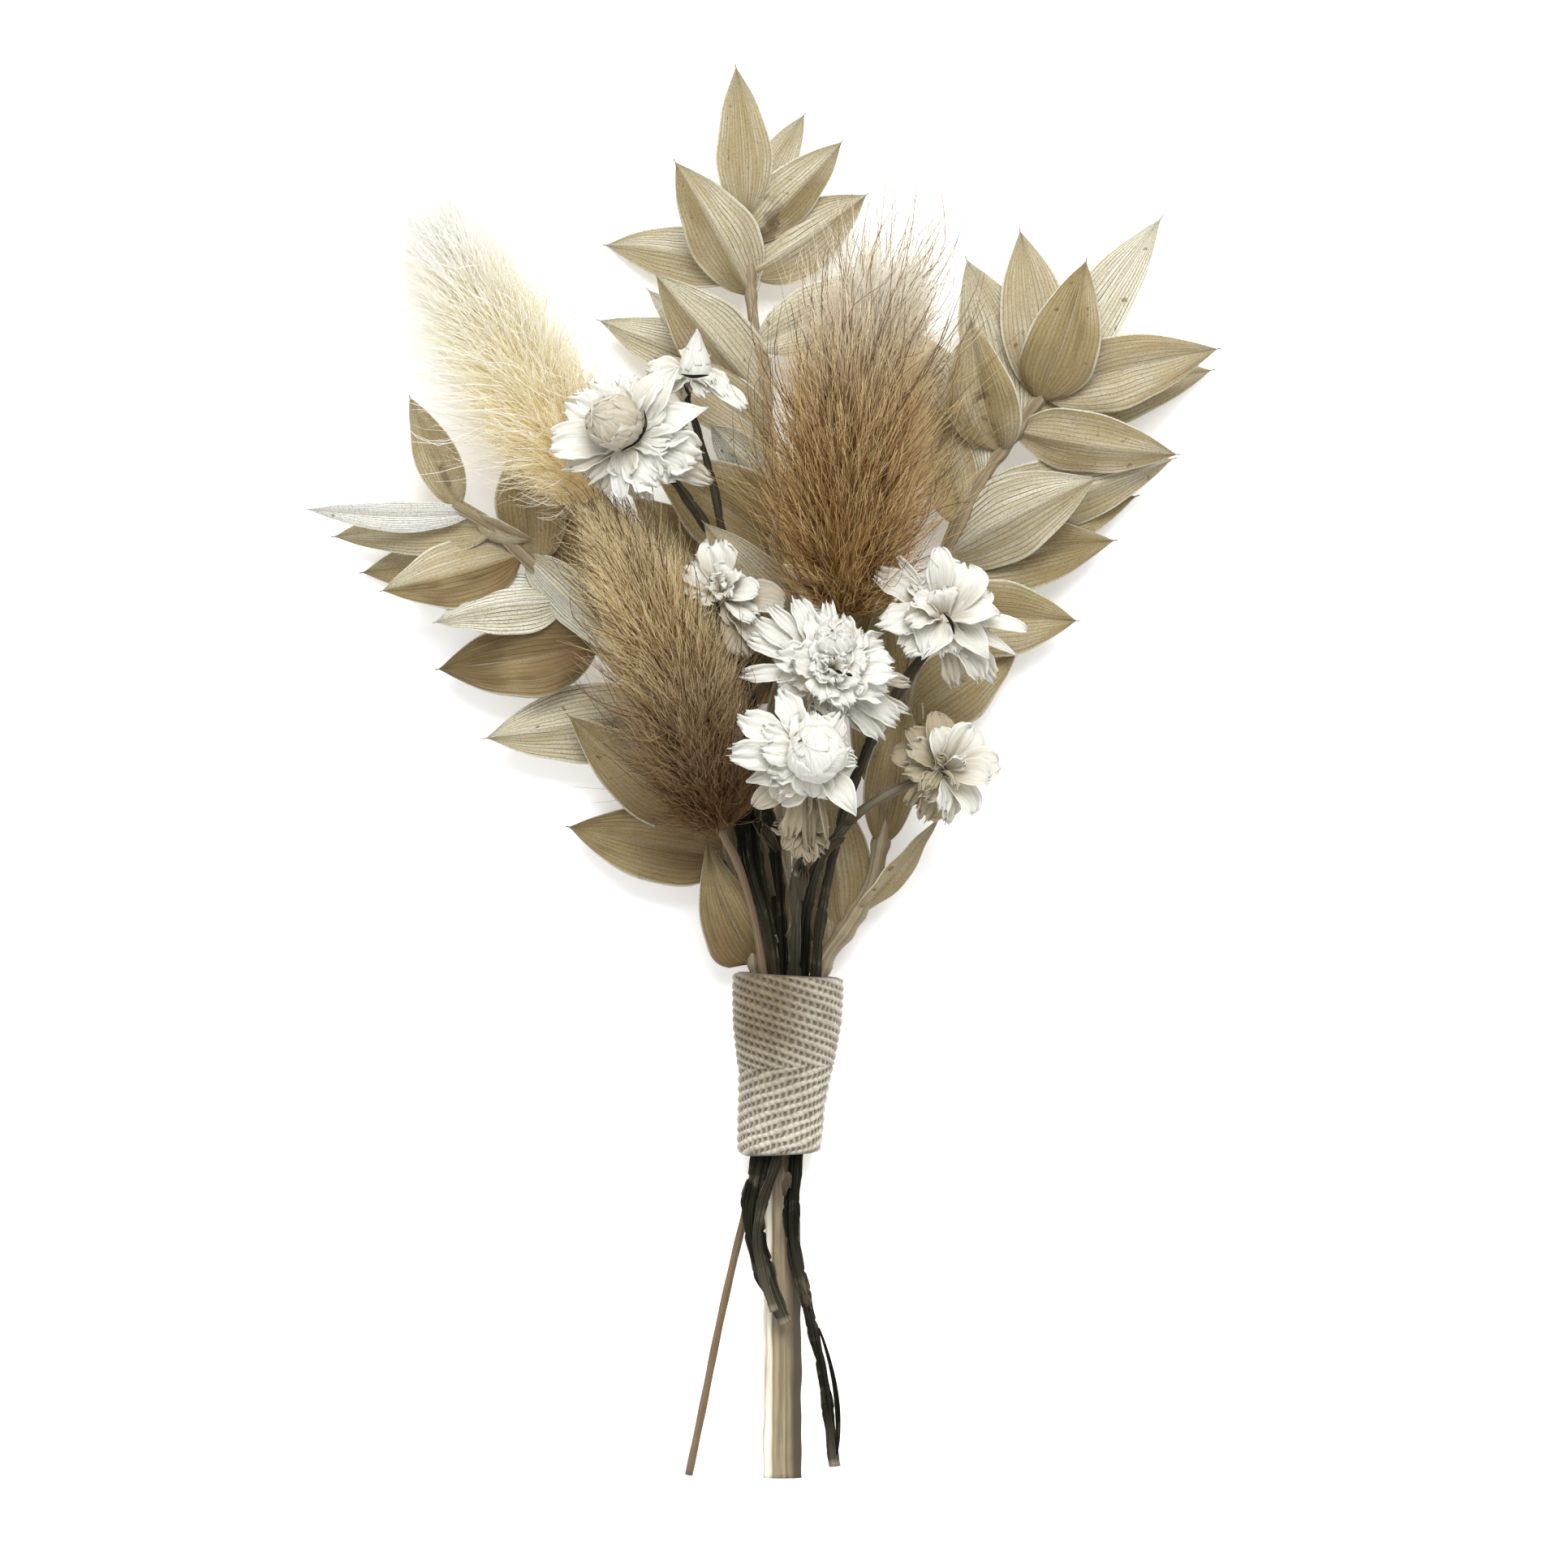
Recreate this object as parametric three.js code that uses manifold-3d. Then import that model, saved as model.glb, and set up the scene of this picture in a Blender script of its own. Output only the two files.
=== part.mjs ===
// A dried-flower boutonniere lying on its back: three sprays of bleached ruscus, three hare's-tail grass
// heads and eight white winged-everlasting blooms, their stems bound together by a wound cotton twill tape.
//
// Millimetres. +Y runs from the cut stem ends to the leaf tips, +X to the right as seen from the front and
// +Z up from the surface it lies on. The origin is on that surface, under the middle of the tape wrap.

import * as THREE from "three";
import { mergeVertices } from "three/addons/utils/BufferGeometryUtils.js";
import Module from "manifold-3d";

const wasm = await Module();
wasm.setup();

// ---- Driving dimensions ----

const LEAF_THICKNESS = 0.6;
const LEAF_STATIONS = [0, 0.13, 0.36, 0.68, 1]; // shares of its length where a leaf's outline has corners
const LEAF_NECK = 0.45; // half the width of a leaf where it joins its stem
const LEAF_POINT = 0.16; // half the width of a leaf's tip
const PETAL_THICKNESS = 0.6;
const PETAL_STATIONS = [0, 0.6, 1];
const PETAL_TILT = -20; // degrees about a petal's own length
const PETAL_SINK = 1.2; // how far a petal's root lies inside the bud
const SEAT_GAP = 0.3; // between a bloom or a grass head and the stem that carries it
const SEAT_RUN = 2.2; // the stem's straight stretch before its seat
const NEEDLE_RADIUS = 0.42;
const NEEDLE_SINK = 0.9;
const NEEDLES = 84;
const GOLDEN_ANGLE = 2.39996;
const FITTING_SHARES = [1, 0.85, 0.7, 0.55, 0.4]; // how far a hair or petal is shortened to stay clear

// The tape wrap: sections from the stem side up, each [y, centre x, centre z, half width, half height].
const WRAP_SECTIONS = [
  [-11.4, -1.1, 5.0, 4.6, 4.6],
  [-10.2, -1.0, 5.1, 5.1, 5.3],
  [-5.0, -0.7, 5.3, 5.3, 5.6],
  [-0.5, -0.2, 5.8, 5.7, 6.1],
  [5.0, 0.0, 6.3, 6.5, 6.6],
  [9.0, 0.1, 6.4, 6.65, 6.7],
  [11.4, 0.1, 6.4, 6.6, 6.6],
];
const WRAP_WALL = 1.0;
const WRAP_COLUMNS = 24;
const WRAP_ROWS = 20;
const RIB_PITCH = 3.1; // larger than the real ribs, which are 1.1 mm apart
const RIB_HEIGHT = 0.22;
const RIB_SLANT = 0.9; // how far a rib climbs in one radian round the wrap, in mm
const CHEVRON_Y = -0.6; // where the weave turns back on itself

// ---- Ruscus sprays ----
// A leaf: from, the y at which it leaves the stem; tip; width; roll about its own length and fold of its two
// halves, in degrees; bow, how far its middle stands off the straight line from root to tip.

const CENTRE_SPRAY = {
  stem: [
    [-0.7, -51.3, 3.5], [-0.7, -30, 3.5], [-0.8, -11, 3.7], [-0.6, 0, 3.8], [-0.3, 12, 3.9], [-0.8, 32, 3.6],
    [-1.5, 52, 3.8], [-2.0, 71, 4.4], [-2.7, 82, 5.2], [-4.2, 92, 6.0], [-4.8, 99, 6.6], [-5.2, 105, 7.0],
  ],
  width: [4.4, 4.4, 4.3, 4.0, 3.2, 2.2, 2.0, 1.8, 1.6, 1.5, 1.3, 1.1],
  height: [3.0, 3.0, 3.0, 2.8, 2.6, 2.0, 1.8, 1.7, 1.5, 1.4, 1.2, 1.1],
  sides: 8,
  leaves: [
    { from: 104.6, tip: [-6.4, 123.4, 9.0], width: 7.0, roll: 4, fold: 8, bow: 1.2 },
    { from: 102.6, tip: [2.3, 117.7, 0.3], width: 6.2, roll: -10, fold: 12, bow: 0.4 },
    { from: 101.6, tip: [7.0, 114.0, 8.5], width: 7.6, roll: 14, fold: -24, bow: 1.2 },
    { from: 97.6, tip: [10.0, 107.7, 4.6], width: 9.6, roll: 6, fold: -20, bow: 1.0 },
    { from: 95.0, tip: [-14.0, 111.6, 10.5], width: 9.6, roll: -8, fold: -24, bow: 1.6 },
    { from: 98.0, tip: [-23.0, 101.6, 0.3], width: 8.2, roll: 12, fold: -22, bow: 0.6 },
    { from: 82.0, tip: [-16.5, 97.7, 10.5], width: 10.4, roll: -6, fold: -26, bow: 1.6 },
    { from: 86.0, tip: [-23.7, 92.2, 3.0], width: 8.2, roll: 10, fold: -20, bow: 0.8 },
    { from: 84.0, tip: [-17.6, 96.2, 2.2], width: 5.6, roll: 0, fold: 10, bow: 0.6 },
    { from: 88.6, tip: [15.4, 97.6, 3.4], width: 8.6, roll: -8, fold: 18, bow: 1.0 },
    { from: 77.0, tip: [-17.0, 87.6, 6.0], width: 8.0, roll: 6, fold: 14, bow: 1.2 },
    { from: 66.0, tip: [-17.0, 73.6, 6.2], width: 8.6, roll: 4, fold: 12, bow: 1.0 },
    { from: 71.0, tip: [-9.6, 79.4, 8.4], width: 6.6, roll: -20, fold: -16, bow: 0.8 },
    { from: 62.0, tip: [13.6, 77.0, 3.8], width: 8.6, roll: 6, fold: 14, bow: 1.0 },
    { from: 45.0, tip: [-15.4, 61.4, 2.8], width: 8.4, roll: 0, fold: 12, bow: 0.8 },
    { from: 38.0, tip: [9.4, 57.0, 2.4], width: 8.4, roll: 0, fold: 12, bow: 0.8 },
  ],
};

// The short twig that stands forward out of the centre spray, with the one leaf on it.
const CENTRE_TWIG = {
  stem: [[-1.1, 42.5, 3.7], [-0.4, 45.5, 6.4], [0.9, 49, 9.4], [1.9, 51.6, 11.2]],
  width: [1.2, 1.1, 1.0, 0.9],
  height: [1.2, 1.1, 1.0, 0.9],
  sides: 6,
  leaves: [
    { from: 51.2, tip: [-10.5, 67.0, 14.6], width: 8.4, roll: 6, fold: -14, bow: 0.8 },
  ],
};

const RIGHT_SPRAY = {
  stem: [
    [3.0, -2.0, 4.9], [3.5, 5, 5.1], [4.2, 12, 5.4], [7.6, 17.2, 5.9], [10.4, 22.2, 6.3], [11.5, 27.2, 6.6],
    [13, 35.2, 6.8], [14.5, 43.2, 6.9], [17, 55.2, 7.0], [19.5, 63.2, 7.2], [21.5, 67.2, 7.4],
    [24, 72.2, 7.6], [27.5, 77.2, 8.0], [30, 80.7, 8.2], [32.4, 83.8, 8.4],
  ],
  width: [1.8, 1.9, 2.0, 2.0, 2.0, 1.9, 1.8, 1.8, 1.7, 1.7, 1.6, 1.6, 1.5, 1.4, 1.1],
  height: [1.8, 1.9, 1.9, 1.9, 1.9, 1.8, 1.7, 1.7, 1.6, 1.6, 1.5, 1.5, 1.4, 1.3, 1.1],
  sides: 6,
  leaves: [
    { from: 83.0, tip: [46.5, 105.0, 6.0], width: 8.0, roll: -16, fold: 10, bow: 1.0 },
    { from: 82.4, tip: [28.7, 103.4, 4.2], width: 9.0, roll: 4, fold: 10, bow: 1.0 },
    { from: 82.0, tip: [36.8, 99.2, 13.4], width: 9.6, roll: 0, fold: 8, bow: 2.4 },
    { from: 82.8, tip: [53.5, 88.4, 8.6], width: 9.2, roll: 8, fold: 10, bow: 1.4 },
    { from: 81.4, tip: [53.0, 86.0, 0.3], width: 9.0, roll: 0, fold: 10, bow: -0.8 },
    { from: 78.4, tip: [22.0, 99.8, 4.4], width: 10.4, roll: 6, fold: 8, bow: 0.8 },
    { from: 75.6, tip: [22.6, 92.2, 13.0], width: 9.4, roll: -10, fold: 14, bow: 2.2 },
    { from: 78.2, tip: [48.5, 75.4, 8.4], width: 8.4, roll: 22, fold: -12, bow: 1.8 },
    { from: 68.0, tip: [48.2, 75.0, 4.6], width: 10.0, roll: 10, fold: -20, bow: 1.4 },
    { from: 62.6, tip: [36.8, 71.0, 12.0], width: 12.0, roll: -6, fold: -18, bow: 2.2 },
    { from: 65.0, tip: [43.6, 70.4, 1.6], width: 9.0, roll: 0, fold: 12, bow: 0.2 },
    { from: 60.6, tip: [41.0, 64.8, 3.2], width: 9.4, roll: 6, fold: 10, bow: 0.8 },
    { from: 55.0, tip: [36.2, 54.8, 3.6], width: 10.2, roll: 8, fold: 12, bow: 0.8 },
    { from: 42.0, tip: [29.0, 51.6, 2.6], width: 9.6, roll: 4, fold: 10, bow: 0.6 },
    { from: 66.6, tip: [16.4, 83.4, 6.6], width: 7.4, roll: 10, fold: 10, bow: 1.0 },
    { from: 72.0, tip: [12.6, 92.4, 4.0], width: 10.4, roll: 0, fold: 8, bow: 0.2 },
    { from: 18.6, tip: [18.6, 31.0, 7.4], width: 5.6, roll: 58, fold: 8, bow: 0.6 },
    { from: 16.4, tip: [3.6, 31.6, 5.0], width: 7.6, roll: -4, fold: -16, bow: 0.8 },
    { from: 14.6, tip: [3.0, 24.4, 2.8], width: 5.6, roll: 0, fold: 10, bow: 0.4 },
    { from: 27.2, tip: [15.2, 46.4, 8.4], width: 6.0, roll: 40, fold: 10, bow: 1.0 },
  ],
};

const LEFT_SPRAY = {
  stem: [
    [-3.6, 4.6, 4.6], [-3.7, 12, 4.9], [-7, 26.2, 4.9], [-14, 41.2, 5.1], [-23, 51.2, 6.0], [-28, 58.2, 6.8],
    [-33, 63.2, 7.4], [-37, 66.7, 8.0], [-41.2, 69.2, 8.4],
  ],
  width: [1.8, 1.8, 1.8, 1.7, 1.6, 1.5, 1.4, 1.3, 1.1],
  height: [1.8, 1.8, 1.7, 1.6, 1.5, 1.4, 1.3, 1.2, 1.1],
  sides: 6,
  leaves: [
    { from: 68.8, tip: [-46.6, 82.6, 9.4], width: 6.4, roll: 10, fold: 8, bow: 0.8 },
    { from: 68.0, tip: [-59.7, 68.7, 8.2], width: 6.2, roll: -56, fold: 10, bow: 0.6 },
    { from: 66.0, tip: [-56.6, 65.2, 2.2], width: 6.6, roll: 0, fold: 10, bow: 0.4 },
    { from: 64.0, tip: [-53.0, 60.8, 0.3], width: 8.2, roll: 0, fold: 10, bow: -0.8 },
    { from: 63.0, tip: [-50.3, 58.4, 9.6], width: 9.8, roll: 14, fold: -24, bow: 1.8 },
    { from: 57.4, tip: [-43.6, 54.6, 10.6], width: 8.6, roll: 16, fold: -22, bow: 1.4 },
    { from: 61.4, tip: [-31.6, 79.8, 5.4], width: 9.0, roll: 0, fold: 8, bow: 0.8 },
    { from: 62.6, tip: [-19.4, 49.6, 9.4], width: 6.8, roll: 24, fold: -22, bow: 1.6 },
    { from: 51.6, tip: [-43.6, 48.8, 4.6], width: 10.2, roll: 4, fold: 12, bow: 1.0 },
    { from: 43.6, tip: [-37.7, 40.2, 5.6], width: 10.6, roll: 10, fold: -20, bow: 1.4 },
    { from: 29.0, tip: [-27.3, 43.4, 9.4], width: 9.8, roll: -12, fold: -16, bow: 1.8 },
    { from: 25.4, tip: [-27.5, 29.4, 3.0], width: 10.0, roll: 4, fold: 10, bow: 0.8 },
    { from: 13.4, tip: [-9.8, 28.0, 8.6], width: 8.0, roll: -14, fold: 14, bow: 2.0 },
    { from: 56.4, tip: [-24.4, 72.4, 3.4], width: 8.4, roll: 0, fold: 10, bow: 0.4 },
    { from: 67.6, tip: [-28.6, 66.2, 10.2], width: 4.2, roll: 34, fold: 20, bow: 0.8 },
  ],
};

// ---- Hare's-tail grasses: the head's axis from its seat to its tip, its half thickness, and its stalk ----

const TAILS = [
  {
    name: "cream",
    axis: [[-23.5, 70, 12.8], [-29, 78, 14.2], [-36, 89, 15.4], [-41.5, 97.5, 15.6], [-45.2, 104, 15.0]],
    radius: 5.2,
    hair: 8.6,
    stalk: [
      [-12.2, -51, 3.0], [-10.5, -42.8, 3.1], [-8.5, -32.8, 3.3], [-6.5, -23.8, 3.7], [-5.3, -18.8, 4.0],
      [-3.8, -11, 4.6], [-3.3, 0, 5.5], [-2.7, 9, 6.2], [-2.1, 15, 5.3], [-4.0, 25, 5.9], [-9.2, 40, 7.6],
      [-15.4, 55, 9.2], [-20.6, 65, 11.2],
    ],
    stalkWidth: 0.9,
  },
  {
    name: "brown_left",
    axis: [[-8.4, 29.6, 16.6], [-10.5, 36, 18.8], [-14, 46, 20.4], [-19, 57, 20.8], [-24.6, 67.6, 19.8]],
    radius: 4.9,
    hair: 7.2,
    stalk: [[-2.6, 4, 8.0], [-2.9, 11, 8.5], [-4.5, 20, 11.2], [-6.6, 26, 14.2]],
    stalkWidth: 1.0,
  },
  {
    name: "brown_right",
    axis: [
      [7.2, 56, 17.4], [7.8, 62, 19.6], [8.2, 71, 20.8], [9.2, 81, 21.0], [11.0, 90, 20.6], [13.0, 97, 20.0],
    ],
    radius: 6.0,
    hair: 9.0,
    stalk: [[1.8, 3, 6.0], [1.9, 11, 6.0], [2.5, 25, 8.8], [4.5, 40, 12.0], [6.5, 50, 15.0]],
    stalkWidth: 0.9,
  },
];

// ---- Winged everlastings ----
// A bloom: seat, where its stem ends; facing, the way it opens; reach, how far its outer petals spread.

const BLOOMS = [
  { name: "left_front", seat: [-18.0, 76.0, 22.2], facing: [-0.45, 0.22, 0.87], reach: 8.8, bud: 3.9 },
  { name: "left_back", seat: [-12.0, 83.6, 18.6], facing: [0.1, 0.8, 0.6], reach: 7.6, bud: 3.0 },
  { name: "middle_back", seat: [-7.6, 56.4, 17.2], facing: [-0.15, 0.55, 0.82], reach: 7.0, bud: 2.8 },
  { name: "middle", seat: [4.8, 47.6, 23.6], facing: [0.12, 0.22, 0.97], reach: 9.2, bud: 3.8 },
  { name: "middle_front", seat: [2.4, 37.4, 28.2], facing: [0.18, 0.1, 0.98], reach: 7.8, bud: 4.2 },
  { name: "middle_low", seat: [2.0, 28.6, 22.8], facing: [0.1, 0.35, 0.93], reach: 5.4, bud: 2.0 },
  { name: "right_upper", seat: [18.6, 53.6, 21.8], facing: [0.12, 0.5, 0.86], reach: 9.4, bud: 3.4 },
  { name: "right_lower", seat: [17.6, 35.8, 18.6], facing: [0.78, 0.3, 0.55], reach: 7.4, bud: 3.0 },
];
const BUD_PROFILE = [[0, 0], [0.2, 0], [0.7, 0.5], [0.86, 1.05], [0.6, 1.66], [0, 1.92]]; // in bud radii
const OUTER_PETALS = 8;
const INNER_PETALS = 5;
const PETAL_WIDTH = 0.54; // as a share of how far the petal reaches
const INNER_SHARE = 0.7; // the inner petals' reach, as a share of the outer ones'

// The winged stems, from the cut end up. A fork grows out of the stem before it.
const WINGED_STEMS = [
  {
    name: "left",
    path: [
      [-0.3, -31.6, 7.0], [-1.6, -28.8, 7.0], [-3.1, -24.8, 7.0], [-3.7, -18.8, 6.9], [-2.9, -11, 6.5],
      [-1.4, 0, 6.2], [-0.5, 11, 6.4], [-1.4, 22, 7.4], [-3.4, 38, 8.2], [-5.4, 52, 9.0], [-7.6, 63, 9.8],
      [-8.8, 70, 12.0], [-10.8, 78, 15.2],
    ],
    bloom: "left_back",
    forks: [{ path: [[-7.4, 62.4, 9.8], [-11.4, 68.4, 14.2]], bloom: "left_front" }],
    width: 2.2,
    height: 1.4,
  },
  {
    name: "grey",
    path: [
      [-2.2, -27.6, 9], [-3, -22, 9.2], [-2.4, -17, 8.9], [-1, -11, 7.6], [-1.2, 0, 8.4], [-1.1, 11, 8.8],
      [-2.0, 18, 11.4], [-4.6, 26, 12.4], [-4.9, 34, 12.4], [-4.4, 42, 12.8], [-5.6, 50, 14.6],
    ],
    bloom: "middle_back",
    forks: [],
    width: 2.1,
    height: 1.3,
  },
  {
    name: "middle",
    path: [[1.2, 2, 8.9], [1.5, 11, 9.4], [1, 18, 12.4], [0.8, 23, 16], [1.2, 28.6, 20.4], [1.9, 33, 24.4]],
    bloom: "middle_front",
    forks: [
      { path: [[0.8, 24.4, 16.8], [2.6, 37, 18.6]], bloom: "middle" },
      { path: [[0.9, 23.6, 16.4]], bloom: "middle_low" },
    ],
    width: 1.9,
    height: 1.3,
  },
  {
    name: "right_low",
    path: [
      [6.1, -49.8, 4.6], [5.2, -40.8, 5.0], [4.0, -34.8, 5.6], [3.0, -30.8, 6.2], [1.6, -24.8, 6.6],
      [0.9, -18.8, 6.6], [1.2, -11, 6.1], [1.6, 0, 7.0], [1.9, 11, 7.6], [3.4, 20, 9.4], [5.6, 26.2, 12.0],
      [9.0, 30.6, 14.8], [13.0, 33.4, 16.8],
    ],
    bloom: "right_lower",
    forks: [],
    width: 1.8,
    height: 1.4,
  },
  {
    name: "right_high",
    path: [[3.5, 3, 7.4], [3.9, 11, 7.8], [5.6, 22, 9.6], [8.6, 34, 12.8], [12, 43, 16.2], [15.4, 48.6, 19]],
    bloom: "right_upper",
    forks: [],
    width: 1.6,
    height: 1.3,
  },
];

// ---- Materials ----

const bleachedLeaf = new THREE.MeshStandardMaterial({ color: 0xcdb98f, roughness: 0.7, metalness: 0 });
const creamHair = new THREE.MeshStandardMaterial({ color: 0xf3e8c8, roughness: 0.85, metalness: 0 });
const brownHair = new THREE.MeshStandardMaterial({ color: 0x9c7a55, roughness: 0.85, metalness: 0 });
const dryStalk = new THREE.MeshStandardMaterial({ color: 0x9a7757, roughness: 0.7, metalness: 0 });
const darkStem = new THREE.MeshStandardMaterial({ color: 0x2e2f27, roughness: 0.8, metalness: 0 });
const whitePetal = new THREE.MeshStandardMaterial({ color: 0xf2f1ea, roughness: 0.75, metalness: 0 });
const cottonTape = new THREE.MeshStandardMaterial({ color: 0xd3c6b4, roughness: 0.95, metalness: 0 });

// ---- Geometry ----

const UP = new THREE.Vector3(0, 0, 1);
const vector = (p) => new THREE.Vector3(...p);
const curveThrough = (points) => new THREE.CatmullRomCurve3(points.map(vector), false, "centripetal");

// A number from -1 to 1 that looks random and is the same in every run.
const wobble = (i, k) => Math.sin(i * 12.9898 + k * 78.233);

// The value at share t of a list of evenly spread numbers.
function along(list, t) {
  const place = t * (list.length - 1);
  const i = Math.min(Math.floor(place), list.length - 2);
  return THREE.MathUtils.lerp(list[i], list[i + 1], place - i);
}

// A closed geometry as a solid. Only positions are kept, with shared corners merged.
function solidOf(geometry) {
  const bare = geometry.clone();
  bare.deleteAttribute("normal");
  bare.deleteAttribute("uv");
  const merged = mergeVertices(bare, 1e-4);
  return new wasm.Manifold(
    new wasm.Mesh({
      numProp: 3,
      vertProperties: new Float32Array(merged.attributes.position.array),
      triVerts: new Uint32Array(merged.index.array),
    }),
  );
}

// The largest body of a solid as a mesh: loose scraps smaller than a hair's width are dropped.
function meshOf(solid, name, material) {
  const bodies = solid.decompose().sort((a, b) => b.volume() - a.volume());
  const { vertProperties, triVerts, numProp } = bodies[0].getMesh();
  const positions = new Float32Array((vertProperties.length / numProp) * 3);
  for (let i = 0; i < positions.length / 3; i++)
    positions.set(vertProperties.subarray(i * numProp, i * numProp + 3), i * 3);
  const geometry = new THREE.BufferGeometry();
  geometry.setAttribute("position", new THREE.BufferAttribute(positions, 3));
  geometry.setIndex(new THREE.BufferAttribute(new Uint32Array(triVerts), 1));
  geometry.computeVertexNormals();
  const mesh = new THREE.Mesh(geometry, material);
  mesh.name = name;
  return mesh;
}

// The largest of a piece's sizes that stays clear of every neighbour, or null if none does.
function fitted(pieceAt, neighbours) {
  for (const share of FITTING_SHARES) {
    const piece = pieceAt(share);
    if (neighbours.every((other) => piece.minGap(other, SEAT_GAP) >= SEAT_GAP)) return piece;
  }
  return null;
}

const join = (solids) => solids.reduce((all, next) => all.add(next));

function geometryFrom(points, triangles) {
  const geometry = new THREE.BufferGeometry().setFromPoints(points);
  geometry.setIndex(triangles.flat());
  return geometry;
}

// A skin over rings of points that all have the same count, each ring running clockwise seen from the next.
// Its ends are closed by a fan, or it closes on itself when loop is true.
function skin(rings, loop = false) {
  const n = rings[0].length;
  const points = rings.flat();
  const triangles = [];
  const last = loop ? rings.length : rings.length - 1;
  for (let i = 0; i < last; i++) {
    const next = (i + 1) % rings.length;
    for (let j = 0; j < n; j++) {
      const k = (j + 1) % n;
      triangles.push([i * n + j, i * n + k, next * n + k], [i * n + j, next * n + k, next * n + j]);
    }
  }
  if (!loop) {
    for (const [i, turned] of [[0, true], [rings.length - 1, false]]) {
      const middle = rings[i].reduce((sum, p) => sum.add(p), new THREE.Vector3()).divideScalar(n);
      points.push(middle);
      for (let j = 0; j < n; j++) {
        const pair = [i * n + j, i * n + ((j + 1) % n)];
        triangles.push([points.length - 1, ...(turned ? pair.reverse() : pair)]);
      }
    }
  }
  return geometryFrom(points, triangles);
}

// Sideways and upward unit vectors square to a curve at share t. The curve never runs straight up.
function frameAt(curve, t) {
  const ahead = curve.getTangentAt(t);
  const side = new THREE.Vector3().crossVectors(ahead, UP).normalize();
  const up = new THREE.Vector3().crossVectors(side, ahead).normalize();
  return { at: curve.getPointAt(t), ahead, side, up };
}

// A tube along a curve: outline(t) gives its section as [sideways, up] pairs, anticlockwise seen from ahead.
function sweep(curve, steps, outline) {
  const rings = [];
  for (let i = 0; i <= steps; i++) {
    const t = i / steps;
    const { at, side, up } = frameAt(curve, t);
    rings.push(outline(t).map(([s, h]) => at.clone().addScaledVector(side, s).addScaledVector(up, h)));
  }
  return skin(rings);
}

// The corners of an ellipse with the given full width and height.
function ellipse(sides, width, height, turn = 0) {
  return Array.from({ length: sides }, (_, j) => {
    const angle = -((j + turn) / sides) * 2 * Math.PI;
    return [(width / 2) * Math.cos(angle), (height / 2) * Math.sin(angle)];
  });
}

// A thin blade around the middle surface middle(u, v), with v from -1 to 1 and u at the given stations from 0
// to 1. Both faces are split along the same diagonals. A blade that dips to the surface the part lies on
// flattens there.
function blade(stations, columns, thickness, middle) {
  const rows = stations.length - 1;
  const points = [];
  const step = 1e-3;
  const faceOf = (sign) => {
    for (let i = 0; i <= rows; i++) {
      for (let j = 0; j <= columns; j++) {
        const u = THREE.MathUtils.clamp(stations[i], step, 1 - step);
        const v = THREE.MathUtils.clamp((2 * j) / columns - 1, step - 1, 1 - step);
        const du = middle(u + step, v).sub(middle(u - step, v));
        const dv = middle(u, v + step).sub(middle(u, v - step));
        const normal = dv.cross(du).normalize();
        const point = middle(stations[i], (2 * j) / columns - 1);
        point.z = Math.max(point.z, thickness / 2);
        point.addScaledVector(normal, (sign * thickness) / 2);
        point.z = Math.max(point.z, 0);
        points.push(point);
      }
    }
  };
  faceOf(1);
  faceOf(-1);
  const wide = columns + 1;
  const half = (rows + 1) * wide;
  const triangles = [];
  for (let i = 0; i < rows; i++) {
    for (let j = 0; j < columns; j++) {
      const [a, b, c, d] = [i * wide + j, i * wide + j + 1, (i + 1) * wide + j + 1, (i + 1) * wide + j];
      triangles.push([a, b, c], [a, c, d], [a + half, c + half, b + half], [a + half, d + half, c + half]);
    }
  }
  const rim = [];
  for (let j = 0; j < columns; j++) rim.push(j);
  for (let i = 0; i < rows; i++) rim.push(i * wide + columns);
  for (let j = columns; j > 0; j--) rim.push(rows * wide + j);
  for (let i = rows; i > 0; i--) rim.push(i * wide);
  rim.forEach((a, i) => {
    const b = rim[(i + 1) % rim.length];
    triangles.push([a, a + half, b + half], [a, b + half, b]);
  });
  return geometryFrom(points, triangles);
}

// Unit vectors along, across and off a blade that runs from root to tip, faces the given way and is rolled
// about its length.
function bladeFrame(root, tip, rollDegrees, facing = UP) {
  const ahead = tip.clone().sub(root);
  const length = ahead.length();
  ahead.normalize();
  const roll = THREE.MathUtils.degToRad(rollDegrees);
  const across = new THREE.Vector3().crossVectors(ahead, facing).normalize().applyAxisAngle(ahead, roll);
  const off = new THREE.Vector3().crossVectors(across, ahead);
  return { ahead, across, off, length };
}

// ---- Ruscus ----

// Half the width of a leaf at share u of its length: widest at two fifths, drawn out to a fine point.
function leafHalfWidth(u, width) {
  const share = 3.02 * Math.pow(u, 0.65) * Math.pow(1 - u, 1.0);
  return Math.max((width / 2) * share, THREE.MathUtils.lerp(LEAF_NECK, LEAF_POINT, u));
}

function ruscusLeaf(root, leaf) {
  const { ahead, across, off, length } = bladeFrame(root, vector(leaf.tip), leaf.roll);
  const fold = THREE.MathUtils.degToRad(leaf.fold);
  return blade(LEAF_STATIONS, 2, LEAF_THICKNESS, (u, v) => {
    const half = leafHalfWidth(u, leaf.width);
    const rise = 4 * leaf.bow * u * (1 - u) + Math.abs(v) * half * Math.sin(fold);
    return root.clone().addScaledVector(ahead, u * length)
      .addScaledVector(across, v * half * Math.cos(fold))
      .addScaledVector(off, rise);
  });
}

// The point of a curve at height y, found by halving: stems climb steadily in y.
function pointAtHeight(curve, y) {
  let [low, high] = [0, 1];
  for (let i = 0; i < 30; i++) {
    const middle = (low + high) / 2;
    if (curve.getPointAt(middle).y < y) low = middle;
    else high = middle;
  }
  return curve.getPointAt(low);
}

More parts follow.
